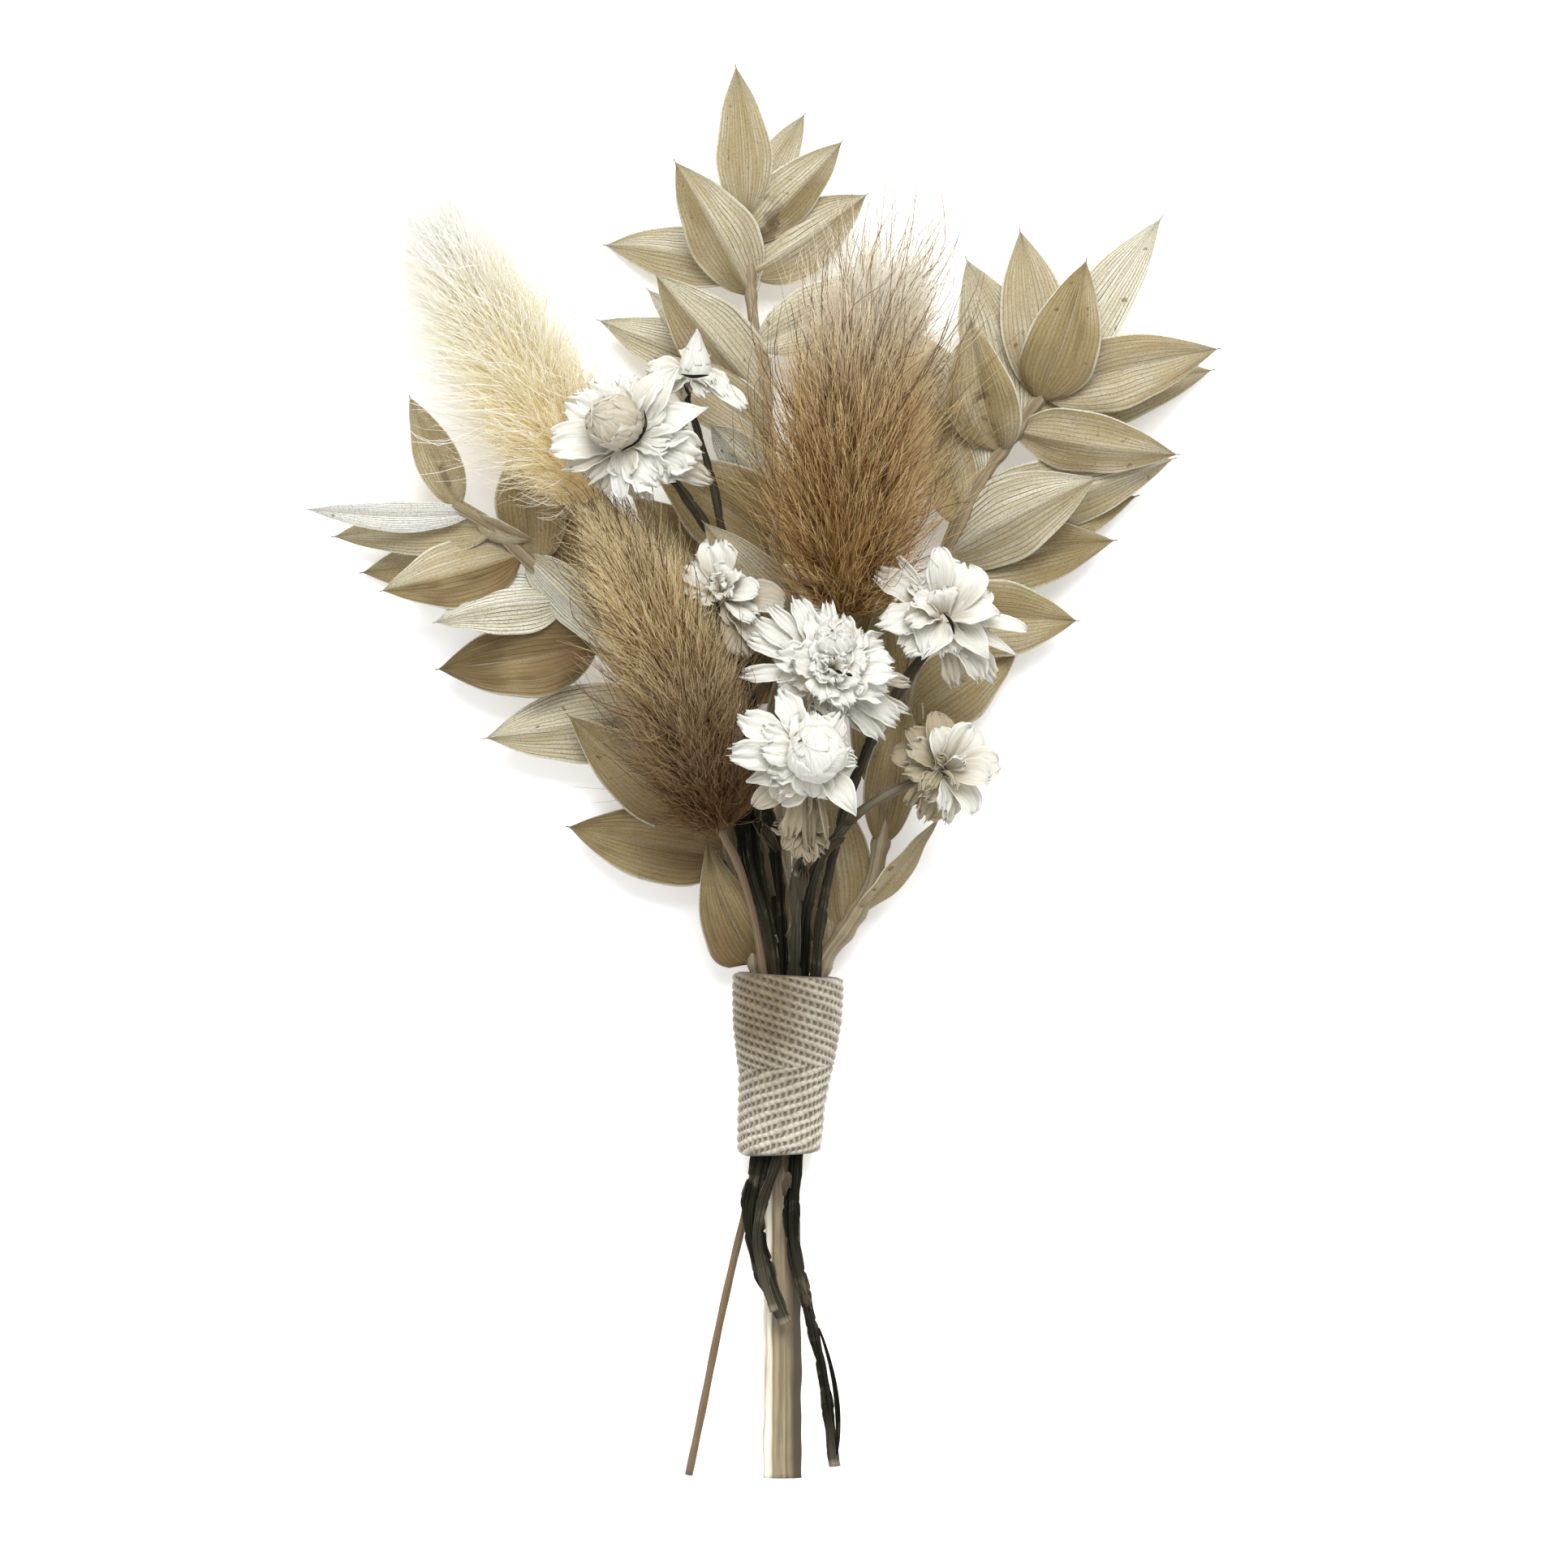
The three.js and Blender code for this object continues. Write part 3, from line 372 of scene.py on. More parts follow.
class ShaderTree:
    """A material's nodes, added and joined by short calls."""

    MIX_INPUTS = (0, 6, 7)  # where a Mix node takes its factor and its two colours
    MIX_RESULT = 2  # where it gives its colour

    def __init__(self, name: str) -> None:
        """Starts an empty material with an output node.

        Args:
            name: The material's name.
        """
        self.material = bpy.data.materials.new(name)
        self.material.use_nodes = True
        self.nodes = self.material.node_tree.nodes
        self.links = self.material.node_tree.links
        self.nodes.clear()
        self.output = self.nodes.new("ShaderNodeOutputMaterial")

    def node(self, kind: str, inputs: dict | None = None, **settings: object) -> bpy.types.Node:
        """Adds a node.

        Args:
            kind: The node's type without the leading ShaderNode.
            inputs: Values or output sockets for its inputs, by name or number.
            settings: Properties of the node itself.

        Returns:
            The new node.
        """
        made = self.nodes.new("ShaderNode" + kind)
        for key, value in settings.items():
            setattr(made, key, value)
        for key, value in (inputs or {}).items():
            if isinstance(value, bpy.types.NodeSocket):
                self.links.new(value, made.inputs[key])
            else:
                made.inputs[key].default_value = value
        return made

    def mark(self, name: str) -> bpy.types.NodeSocket:
        """The value of a named mark on the mesh."""
        return self.node("Attribute", attribute_name=name).outputs["Fac"]

    def maths(self, operation: str, first: object, second: object = 0.0) -> bpy.types.NodeSocket:
        """The result of a Math node on two values or sockets."""
        return self.node("Math", {0: first, 1: second}, operation=operation).outputs[0]

    def times(self, *factors: object) -> bpy.types.NodeSocket:
        """The product of values or sockets."""
        return reduce(lambda product, factor: self.maths("MULTIPLY", product, factor), factors)

    def plus(self, *terms: object) -> bpy.types.NodeSocket:
        """The sum of values or sockets."""
        return reduce(lambda total, term: self.maths("ADD", total, term), terms)

    def span(self, value: object, low: float, high: float, to: tuple = (0.0, 1.0)) -> bpy.types.NodeSocket:
        """A value taken from the span low to high to another span, smoothly and held at its ends."""
        inputs = {"Value": value, "From Min": low, "From Max": high, "To Min": to[0], "To Max": to[1]}
        return self.node("MapRange", inputs, interpolation_type="SMOOTHSTEP").outputs["Result"]

    def mix(self, share: object, first: object, second: object, how: str = "MIX") -> bpy.types.NodeSocket:
        """A colour between two colours or sockets, by a share from 0 to 1."""
        made = self.node("Mix", data_type="RGBA", blend_type=how, clamp_factor=True)
        for number, value in zip(self.MIX_INPUTS, (share, first, second)):
            socket = made.inputs[number]
            if isinstance(value, bpy.types.NodeSocket):
                self.links.new(value, socket)
            elif isinstance(value, tuple):
                socket.default_value = (*value, 1.0)
            else:
                socket.default_value = value
        return made.outputs[self.MIX_RESULT]

    def place(self, first: object, second: object, third: object = 0.0) -> bpy.types.NodeSocket:
        """A vector of three values or sockets."""
        return self.node("CombineXYZ", {0: first, 1: second, 2: third}).outputs[0]

    def noise(
        self, scale: float, detail: float, where: object = None, rough: float = 0.55
    ) -> bpy.types.NodeSocket:
        """A noise value, on Object coordinates unless another vector is given."""
        vector = where or self.node("TexCoord").outputs["Object"]
        inputs = {"Vector": vector, "Scale": scale, "Detail": detail, "Roughness": rough}
        return self.node("TexNoise", inputs).outputs["Fac"]

    def bump(self, height: object, depth_mm: float, strength: float) -> bpy.types.NodeSocket:
        """A normal roughened by a height from 0 to 1 that stands for so many millimetres."""
        inputs = {"Height": height, "Distance": depth_mm * MM, "Strength": strength}
        return self.node("Bump", inputs).outputs["Normal"]

    def surface(
        self, colour: object, roughness: float, shine: float, **more: object
    ) -> bpy.types.NodeSocket:
        """A surface shader.

        Args:
            colour: Its colour or socket.
            roughness: Its roughness.
            shine: Its specular level.
            more: Values for other inputs, named with _ for a space.

        Returns:
            The shader's output.
        """
        inputs = {"Base Color": colour, "Roughness": roughness, "Specular IOR Level": shine}
        inputs |= {name.replace("_", " "): value for name, value in more.items()}
        return self.node("BsdfPrincipled", inputs).outputs[0]

    def finish(self, shader: bpy.types.NodeSocket) -> bpy.types.Material:
        """Joins the shader to the output and returns the material."""
        self.links.new(shader, self.output.inputs["Surface"])
        return self.material

    def thin(self, shader: bpy.types.NodeSocket, share: float, **glow: object) -> bpy.types.Material:
        """Lets some light through a thin dry blade or hair and finishes the material.

        Args:
            shader: Its surface shader.
            share: How much of the light comes through.
            glow: Values for the inputs of the see-through shader.

        Returns:
            The finished material.
        """
        through = self.node("BsdfTranslucent", glow).outputs[0]
        return self.finish(self.node("MixShader", {0: share, 1: shader, 2: through}).outputs[0])


@dataclass(frozen=True)
class LeafFinish:
    """Bleached ruscus leaf: tan to cream, with parallel veins, a pale rim and midrib, specks and rust."""

    # dark: the colour of tones below 0, partly darker brown leaf and partly painted shade on leaves deep in
    # the bunch
    dark: Colour = (0.18, 0.125, 0.053)
    tan: Colour = (0.43, 0.34, 0.172)
    cream: Colour = (0.84, 0.83, 0.69)
    white: Colour = (0.93, 0.945, 0.91)
    vein: Colour = (0.15, 0.095, 0.04)
    speck: Colour = (0.1, 0.055, 0.025)
    rust: Colour = (0.21, 0.115, 0.045)
    veins: float = 8.0
    glow: float = 0.3

    def make(self) -> bpy.types.Material:
        """Builds the material from the marks along, across, tone and seed of the leaves."""
        tree = ShaderTree("bleached_leaf")
        along, across, tone, seed = (tree.mark(name) for name in ("along", "across", "tone", "seed"))
        side = tree.maths("ABSOLUTE", across)
        shift = tree.times(seed, 37.0)
        fibre_place = tree.place(tree.times(across, 22.0), tree.times(along, 2.4), shift)
        fibre = tree.noise(1.0, 3.0, fibre_place, 0.6)
        broad_place = tree.place(tree.times(across, 1.3), tree.times(along, 2.2), shift)
        broad = tree.noise(1.0, 2.0, broad_place)
        turn = tree.plus(tree.times(side, self.veins), tree.times(broad, 1.6))
        line = tree.span(tree.maths("COSINE", tree.times(turn, 2 * math.pi)), 0.7, 1.0)
        contrast = tree.span(tone, 0.1, 0.7, (0.45, 1.35))
        streak = tree.times(tree.span(fibre, 0.35, 0.7, (-0.22, 0.22)), contrast)
        lightness = tree.plus(tone, tree.span(broad, 0.3, 0.7, (-0.16, 0.16)), streak)
        colour = tree.mix(tree.span(lightness, -0.5, 0.0), self.dark, self.tan)
        colour = tree.mix(lightness, colour, self.cream)
        colour = tree.mix(tree.span(lightness, 0.95, 1.5), colour, self.white)
        drawn = tree.times(
            line,
            tree.span(fibre, 0.3, 0.6, (0.25, 0.85)),
            tree.span(lightness, 0.1, 0.8, (0.3, 1.35)),
            tree.span(broad, 0.34, 0.56, (0.3, 1.0)),
        )
        colour = tree.mix(drawn, colour, self.vein)
        edge = tree.span(side, 0.925, 0.985, (0.0, 0.85))
        rib = tree.times(tree.span(side, 0.05, 0.01), tree.span(tone, 0.1, 0.7, (0.2, 0.6)))
        colour = tree.mix(tree.maths("MAXIMUM", edge, rib), colour, self.cream)
        colour = tree.mix(tree.span(tree.noise(4600.0, 3.0), 0.45, 0.7, (0.0, 0.36)), colour, self.vein)
        spots = tree.times(tree.span(tree.noise(640.0, 2.0), 0.68, 0.75), tree.span(seed, 0.3, 0.6))
        blotches = tree.times(tree.span(tree.noise(190.0, 3.0), 0.62, 0.72), tree.span(seed, 0.82, 0.9))
        for specks in (spots, blotches):
            colour = tree.mix(tree.times(specks, 0.6), colour, self.speck)
        stain = tree.times(
            tree.span(along, 0.75, 0.0),
            tree.span(tone, 0.1, -0.15, (0.0, 0.8)),
            tree.span(broad, 0.35, 0.6),
        )
        colour = tree.mix(stain, colour, self.rust)
        scar = tree.times(
            tree.span(side, 0.3, 0.06),
            tree.span(tree.noise(420.0, 3.0), 0.46, 0.6),
            tree.span(along, 0.1, 0.22),
            tree.span(along, 0.6, 0.4),
            tree.mark("scar"),
        )
        colour = tree.mix(scar, colour, self.speck)
        normal = tree.bump(tree.maths("SUBTRACT", fibre, tree.times(line, 0.5)), 0.14, 0.8)
        blade = tree.surface(colour, 0.6, 0.3, Normal=normal)
        return tree.thin(blade, self.glow, Color=colour, Normal=normal)


@dataclass(frozen=True)
class WoodFinish:
    """Dry woody stem with streaks along it."""

    name: str = "dry_wood"
    pale: Colour = (0.35, 0.29, 0.187)
    dark: Colour = (0.2, 0.155, 0.092)
    strip: Colour = (0.86, 0.81, 0.66)
    # rind_and_shade: the dark outer skin, and on a split stem the painted shade of its right side and groove
    rind_and_shade: Colour = (0.058, 0.046, 0.027)
    streaks: float = 2.6
    roughness: float = 0.7
    grain_mm: float = 0.08
    shine: float = 0.3
    flecks: float = 0.0

    def make(self) -> bpy.types.Material:
        """Builds the material from the marks along, across and tone.

        The mark along is in mm and across in turns. The mark tone is 1 where the wood is bare and -1 where it
        is darkest; below 0 it mixes in rind_and_shade, which on a split stem is painted shade on its right
        side and in its groove.
        """
        tree = ShaderTree(self.name)
        round_about = tree.times(tree.mark("across"), 2 * math.pi)
        where = tree.place(
            tree.times(tree.maths("COSINE", round_about), self.streaks),
            tree.times(tree.maths("SINE", round_about), self.streaks),
            tree.times(tree.mark("along"), 0.05),
        )
        streak = tree.noise(1.0, 4.0, where, 0.62)
        colour = tree.mix(tree.span(streak, 0.36, 0.64), self.dark, self.pale)
        colour = tree.mix(tree.span(tree.noise(300.0, 2.0), 0.5, 0.7, (0.0, 0.3)), colour, self.dark)
        fleck = tree.span(tree.noise(340.0, 3.0), 0.54, 0.7)
        colour = tree.mix(tree.times(fleck, tree.span(streak, 0.42, 0.6), self.flecks), colour, self.strip)
        tone = tree.mark("tone")
        bare = tree.mix(tree.span(streak, 0.28, 0.54), self.pale, self.strip)
        colour = tree.mix(tone, colour, bare)
        # Below 0 the tone mixes in the dark outer skin and, on a split stem, painted shade.
        colour = tree.mix(tree.times(tone, -1.0), colour, self.rind_and_shade)
        normal = tree.bump(streak, self.grain_mm, 0.8)
        return tree.finish(tree.surface(colour, self.roughness, self.shine, Normal=normal))


WOOD = WoodFinish()
STALK = WoodFinish(
    name="dry_stalk",
    pale=(0.205, 0.142, 0.08),
    dark=(0.115, 0.078, 0.046),
    strip=(0.34, 0.26, 0.17),
    rind_and_shade=(0.1, 0.07, 0.04),
    streaks=3.0,
)
DARK_STEM = WoodFinish(
    name="dark_stem",
    pale=(0.021, 0.021, 0.013),
    dark=(0.002, 0.002, 0.0014),
    strip=(0.25, 0.215, 0.15),
    rind_and_shade=(0.002, 0.002, 0.001),
    streaks=4.0,
    roughness=0.75,
    grain_mm=0.24,
    shine=0.05,
    flecks=0.32,
)


@dataclass(frozen=True)
class HairFinish:
    """Soft grass hair, dark at its root and pale at its tip, with tints for a head's foot and crown."""

    name: str
    root: Colour
    middle: Colour
    tip: Colour
    foot: Colour
    crown: Colour
    glow: float = 0.5
    bloom: Colour = (0.0, 0.0, 0.0)
    mottle: float = 0.75
    crown_start: float = 0.55

    def make(self) -> bpy.types.Material:
        """Builds the material from the marks along and shade of the hairs and their place on the head.

        The bloom stands in for the light that scatters many times over between hairs as fine as these.
        """
        tree = ShaderTree(self.name)
        along, shade = tree.mark("along"), tree.mark("shade")
        colour = tree.mix(tree.span(along, 0.0, 0.5), self.root, self.middle)
        colour = tree.mix(tree.span(along, 0.4, 1.0), colour, self.tip)
        colour = tree.mix(tree.span(shade, 0.15, 0.5, (self.mottle, 0.0)), colour, self.root)
        colour = tree.mix(tree.span(shade, 0.5, 0.85, (0.0, self.mottle)), colour, self.tip)
        place = tree.mark("place")
        tint = tree.mix(tree.span(place, 0.0, 0.62), self.foot, (1.0, 1.0, 1.0))
        colour = tree.mix(1.0, colour, tint, "MULTIPLY")
        colour = tree.mix(tree.span(place, self.crown_start, 0.95, (0.0, 0.95)), colour, self.crown)
        shine = {"Emission_Color": (*self.bloom, 1.0), "Emission_Strength": 1.0}
        return tree.thin(tree.surface(colour, 0.5, 0.3, **shine), self.glow, Color=colour)


HAIRS = (
    HairFinish(
        name="cream_hair",
        root=(0.99, 0.95, 0.77),
        middle=(0.997, 0.983, 0.87),
        tip=(0.998, 0.996, 0.97),
        foot=(0.99, 0.94, 0.8),
        crown=(0.997, 0.997, 0.99),
        glow=0.55,
        bloom=(0.066, 0.053, 0.034),
        mottle=0.25,
    ),
    HairFinish(
        name="cream_awn",
        root=(0.98, 0.96, 0.9),
        middle=(0.99, 0.985, 0.96),
        tip=(0.995, 0.995, 0.99),
        foot=(1.0, 0.98, 0.94),
        crown=(0.995, 0.995, 0.99),
    ),
    HairFinish(
        name="brown_hair",
        root=(0.385, 0.205, 0.062),
        middle=(0.67, 0.46, 0.195),
        tip=(0.88, 0.745, 0.46),
        foot=(0.94, 0.88, 0.78),
        crown=(0.998, 0.985, 0.92),
        crown_start=0.46,
    ),
    HairFinish(
        name="brown_awn",
        root=(0.17, 0.095, 0.035),
        middle=(0.15, 0.085, 0.03),
        tip=(0.2, 0.13, 0.055),
        foot=(1.0, 1.0, 1.0),
        crown=(0.4, 0.28, 0.14),
        glow=0.15,
    ),
    HairFinish(
        name="dusky_hair",
        root=(0.54, 0.355, 0.145),
        middle=(0.89, 0.735, 0.43),
        tip=(0.95, 0.86, 0.6),
        foot=(0.37, 0.255, 0.165),
        crown=(0.9, 0.81, 0.58),
    ),
    HairFinish(
        name="dusky_awn",
        root=(0.12, 0.07, 0.035),
        middle=(0.12, 0.07, 0.035),
        tip=(0.16, 0.1, 0.05),
        foot=(1.0, 0.9, 0.9),
        crown=(0.2, 0.13, 0.06),
        glow=0.15,
    ),
)


@dataclass(frozen=True)
class PetalFinish:
    """Papery white petal with a white rim and fine creases along it. It is warmer towards its root, partly
    its own colour and partly painted shade deep in the bloom, and painted warmer in the hollows of its
    creases as shade.
    """

    name: str = "white_petal"
    white: Colour = (0.88, 0.898, 0.878)
    warm: Colour = (0.5, 0.43, 0.29)
    deep: Colour = (0.2, 0.16, 0.1)
    light: Colour = (0.99, 0.92, 0.75)
    glow: float = 0.31

    def make(self) -> bpy.types.Material:
        """Builds the material from the marks along, across, tone and seed of the petals."""
        tree = ShaderTree(self.name)
        along, across, tone, seed = (tree.mark(name) for name in ("along", "across", "tone", "seed"))
        where = tree.place(tree.times(across, 12.0), tree.times(along, 1.8), tree.times(seed, 19.0))
        crease = tree.noise(1.0, 3.0, where, 0.6)
        # Warmer towards the root: partly the petal's own colour, partly painted shade deep in the bloom. The
        # crease term paints warm shade in the creases' hollows.
        foot = tree.span(along, 0.85, 0.0, (0.0, 0.5))
        warm_tint_and_shade = tree.plus(foot, tone, tree.span(crease, 0.6, 0.3, (0.0, 0.3)))
        colour = tree.mix(warm_tint_and_shade, self.white, self.warm)
        colour = tree.mix(tree.span(warm_tint_and_shade, 1.0, 1.9), colour, self.deep)
        margin = tree.span(tree.maths("ABSOLUTE", across), 0.86, 0.98, (0.0, 0.6))
        rim = tree.maths("MAXIMUM", margin, tree.span(along, 0.92, 0.99, (0.0, 0.6)))
        rim = tree.times(rim, tree.span(tone, 0.2, 0.8, (1.0, 0.15)))
        colour = tree.mix(rim, colour, self.white)
        normal = tree.bump(crease, 0.13, 0.9)
        through = tree.mix(1.0, colour, self.light, "MULTIPLY")
        blade = tree.surface(colour, 0.85, 0.12, Normal=normal)
        return tree.thin(blade, self.glow, Color=through, Normal=normal)


PETAL = PetalFinish()
DRY_BRACT = PetalFinish(
    name="dry_bract",
    white=(0.26, 0.22, 0.15),
    warm=(0.09, 0.07, 0.045),
    deep=(0.09, 0.07, 0.045),
    glow=0.1,
)


@dataclass(frozen=True)
class TapeFinish:
    """Cotton twill tape: cream yarn with a fine fibre fuzz, painted darker between its ribs as shade and
    towards its top and left as the shade of the blooms above it.
    """

    cream: Colour = (0.605, 0.567, 0.461)
    # tan: the colour of the painted shade towards the tape's top and left
    tan: Colour = (0.23, 0.185, 0.12)
    shade: Colour = (0.07, 0.05, 0.03)

    def make(self) -> bpy.types.Material:
        """Builds the material from the marks lift and dusk.

        The mark lift is 0 between ribs and 1 on top of one; where it is low the yarn is painted darker, as
        shade between the ribs. The mark dusk is 1 where the shade of the blooms above is painted on the tape.
        """
        tree = ShaderTree("cotton_tape")
        fibre = tree.noise(3800.0, 3.0, None, 0.65)
        colour = tree.mix(tree.mark("dusk"), self.cream, self.tan)
        # Painted shade between the ribs, then uneven yarn tone and fibre fuzz, each mixed towards the shade
        # colour.
        for shaded in (
            tree.span(tree.mark("lift"), 0.8, 0.16, (0.0, 0.78)),
            tree.span(tree.noise(420.0, 3.0), 0.4, 0.65, (0.0, 0.24)),
            tree.span(fibre, 0.55, 0.3, (0.0, 0.22)),
        ):
            colour = tree.mix(shaded, colour, self.shade)
        normal = tree.bump(fibre, 0.12, 0.8)
        return tree.finish(tree.surface(colour, 0.95, 0.15, Sheen_Weight=0.2, Normal=normal))


# ---- Ruscus sprays ----


@dataclass(frozen=True)
class Leaf:
    """One ruscus leaf, in mm and degrees.

    Attributes:
        start: The y at which it leaves its stem.
        tip: Where it ends.
        width: Its full width.
        roll: Its turn about its own length.
        fold: How far each half is folded up, or down if negative.
        bow: How far its middle stands off the line from root to tip.
        tone: 0 for tan, 1 for cream, and below 0 for dark. Leaves low and deep in the bunch have tones below
            0:
        partly their own darker brown, partly painted shade.
        painted_half_light: How much lighter its right half is painted than its left one, seen from root to
            tip:
        painted light and shade for the way the light falls on its two folded sides.
        fullness: Which power of the share of its length its width grows by; the less, the blunter its base.
        scar: How strongly a brown scar shows beside its midrib.
    """

    start: float
    tip: Point
    width: float
    roll: float
    fold: float
    bow: float
    tone: float = 0.4
    painted_half_light: float = 0.0
    fullness: float = 0.65
    scar: float = 0.0

    ROWS = 38
    COLUMNS = 33
    THICKNESS = 0.22
    FLOOR_GAP = 0.02  # what a leaf that lies on the floor keeps clear of it, in mm
    SOFT_FOLD = 0.0012  # rounds the fold where the two halves meet
    FOLD_DROP = 0.0346  # brings the rounded fold back to the middle line
    VEINS = 4.0

    def skin(self, root: Array, dice: np.random.Generator) -> Patch:
        """Makes the leaf's closed blade.

        The blade runs straight from root to tip, bowed as a parabola and swayed as half a sine. Its half
        width is u^fullness times (1 - u), scaled to its width, with a narrow claw at the root and a fine
        point. Each half rises by the fold, is a little cushioned, carries shallow parallel veins as a
        cosine across it, and ripples at the margin.

        Args:
            root: Where it starts, in mm.
            dice: Draws its small differences.

        Returns:
            The blade with its marks.
        """
        u = (np.linspace(0, 1, self.ROWS) ** 0.9)[:, None]
        v = np.linspace(-1, 1, self.COLUMNS)[None, :]
        tip = np.array(self.tip)
        length = float(np.linalg.norm(tip - root))
        ahead = (tip - root) / length
        across = turn_about(unit(np.cross(ahead, UP)), ahead, math.radians(self.roll))
        off = np.cross(across, ahead)
        reach = np.minimum(u / 0.975, 1)
        widest = self.fullness / (1 + self.fullness)
        share = reach**self.fullness * (1 - reach) / (widest**self.fullness * (1 - widest))
        half = np.maximum(self.width / 2 * share, 0.45 * (1 - u) ** 8 + 0.07)
        fold = math.radians(self.fold) * (1.08 - 0.35 * u)
        side = np.sqrt(v * v + self.SOFT_FOLD) - self.FOLD_DROP
        phases = dice.uniform(0, 2 * math.pi, (3, 3))
        margin = ripple(7.0 * u + 1.1 * np.sign(v), phases[0])
        ripples = 0.05 * self.width * np.abs(v) ** 3 * margin * (1 - u**4)
        cushion = math.copysign(0.045, self.fold) * self.width
        cushion = cushion * np.sin(math.pi * np.abs(v)) * np.sqrt(share)
        veins = 0.025 * np.cos(2 * math.pi * self.VEINS * np.abs(v) ** 0.85)
        veins = veins * smoothstep(0, 0.2, u) * (1 - u)
        dents = 0.03 * self.width * ripple(4.0 * u + 1.6 * v, phases[1]) * (1 - u)
        hook = dice.uniform(-0.7, 0.7) * smoothstep(0.72, 1.0, u)
        rise = 4 * self.bow * u * (1 - u) + side * half * np.sin(fold) + ripples + cushion + veins + dents
        sway = 0.035 * length * dice.uniform(-1, 1) * np.sin(math.pi * u)
        uneven = 1 + 0.05 * ripple(6.0 * u + 2.0 * np.sign(v), phases[2])
        wide = v * half * np.cos(fold) * uneven + sway
        grid = root + ahead * (u * length)[..., None] + across * wide[..., None]
        grid = grid + off * (rise + hook)[..., None]
        thickness = self.THICKNESS * (0.4 + 0.6 * (1 - v**4)) * (1 - 0.6 * u**3)
        grid[..., 2] = np.maximum(grid[..., 2], self.THICKNESS / 2 + self.FLOOR_GAP)
        marks = on_grid(
            (self.ROWS, self.COLUMNS),
            along=u,
            across=v,
            # painted_half_light paints one folded side lighter and the other darker: painted light and shade.
            tone=self.tone + dice.uniform(-0.05, 0.05) + self.painted_half_light * np.clip(6 * v, -1, 1) / 2,
            seed=dice.uniform(0, 1),
            scar=self.scar,
        )
        return shell(grid, thickness, marks)


@dataclass
class RuscusSpray:
    """A woody stem with its leaves, grown as one piece.

    Attributes:
        node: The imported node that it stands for.
        seed: Starts its random draws.
        stem: What the stem goes through, in mm.
        width: The stem's widths, spread evenly along it.
        height: Its heights, spread the same way.
        leaves: Its leaves.
        twigs: Short side twigs with leaves of their own.
        split: The y below which the stem is split open, or none.
    """

    node: str
    seed: int
    stem: list[Point]
    width: list[float]
    height: list[float]
    leaves: list[Leaf]
    twigs: list["RuscusSpray"] = field(default_factory=list)
    split: float | None = None

    # Where on a split stem the narrow ridge and the bark's edge run, as angles from its right side.
    RIDGE = math.radians(80)
    BARK_EDGE = math.radians(123)
    SIDES = 40
    STEP_MM = 0.55

    def stem_skin(self, dice: np.random.Generator) -> Patch:
        """Makes the stem.

        It is an ellipse with soft ridges, swollen where each leaf leaves it. A split stem has a narrow
        ridge along its front between two shallow channels and a bare pale strip at its left. Its right side
        and the groove at the pale strip's edge are painted darker as shade.
        """
        path = Path(self.stem)
        count = max(int(path.length / self.STEP_MM), 12)
        share = np.linspace(0, 1, count)
        y = path.at(share)[:, 1]
        angle = once_round(self.SIDES)
        swell = np.ones(count)
        for leaf in self.leaves:
            swell += 0.32 * np.exp(-(((y - leaf.start) / 0.9) ** 2))
        phases = dice.uniform(0, 2 * math.pi, (2, 3))
        run = share[:, None] * path.length
        ridges = 1 + 0.04 * np.cos(7 * angle + 0.5 * ripple(0.05 * run, phases[0]))
        ridges = ridges + 0.02 * np.cos(3 * angle + 1)
        bumps = 1 + 0.05 * ripple(0.45 * run + 1.5 * np.cos(angle), phases[1])
        scale = np.minimum(swell, 1.45)[:, None] * ridges * bumps
        around = np.mod(angle, 2 * math.pi)
        bare = 0.0
        if self.split is not None:
            opened = smoothstep(self.split + 6, self.split, y)[:, None]
            ridge = np.exp(-(((around - self.RIDGE) / 0.07) ** 2))
            channel = np.exp(-(((around - self.RIDGE) / 0.5) ** 2)) - 1.2 * ridge
            step = np.exp(-(((around - self.BARK_EDGE) / 0.08) ** 2))
            scale = scale * (1 + opened * (0.03 - 0.13 * channel - 0.1 * step))
            strip = smoothstep(self.BARK_EDGE - 0.06, self.BARK_EDGE + 0.06, around)
            shade = smoothstep(self.RIDGE, self.RIDGE - 0.12, around)
            flank = smoothstep(self.RIDGE - 0.3, self.RIDGE - 0.6, around)
            # Painted shade: the right side past the ridge (shade, flank) and the groove at the pale strip's
            # edge (step) are painted darker; the strip itself is painted pale as bare wood.
            bare = opened * (1.4 * strip + 0.2 * ridge - 0.25 * shade - 0.6 * flank - 1.1 * step - 0.1)
        wide = spread_along(self.width, share) / 2 * scale * np.cos(angle)
        high = spread_along(self.height, share) / 2 * scale * np.sin(angle)
        marks = on_grid((count, self.SIDES), along=run, across=angle / (2 * math.pi), tone=bare)
        return tube(path.rings(share, wide, high), marks, finish=1)

    def skins(self, dice: np.random.Generator) -> list[Patch]:
        """All skins of the spray and its twigs."""
        path = Path(self.stem)
        made = [self.stem_skin(dice)]
        for leaf in self.leaves:
            made.append(leaf.skin(path.at(path.share_at_height(leaf.start)), dice))
        for twig in self.twigs:
            made += twig.skins(dice)
        return made

    def build(self, leaf: bpy.types.Material, wood: bpy.types.Material) -> bpy.types.Object:
        """Makes the spray's piece.

        Args:
            leaf: The leaves' material.
            wood: The stem's material.

        Returns:
            The finished piece, riding on the root body.
        """
        skins = self.skins(np.random.default_rng(self.seed))
        piece = make_piece(self.node + "_leaves", skins, [leaf, wood])
        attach(piece, "root")
        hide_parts(self.node)
        return piece


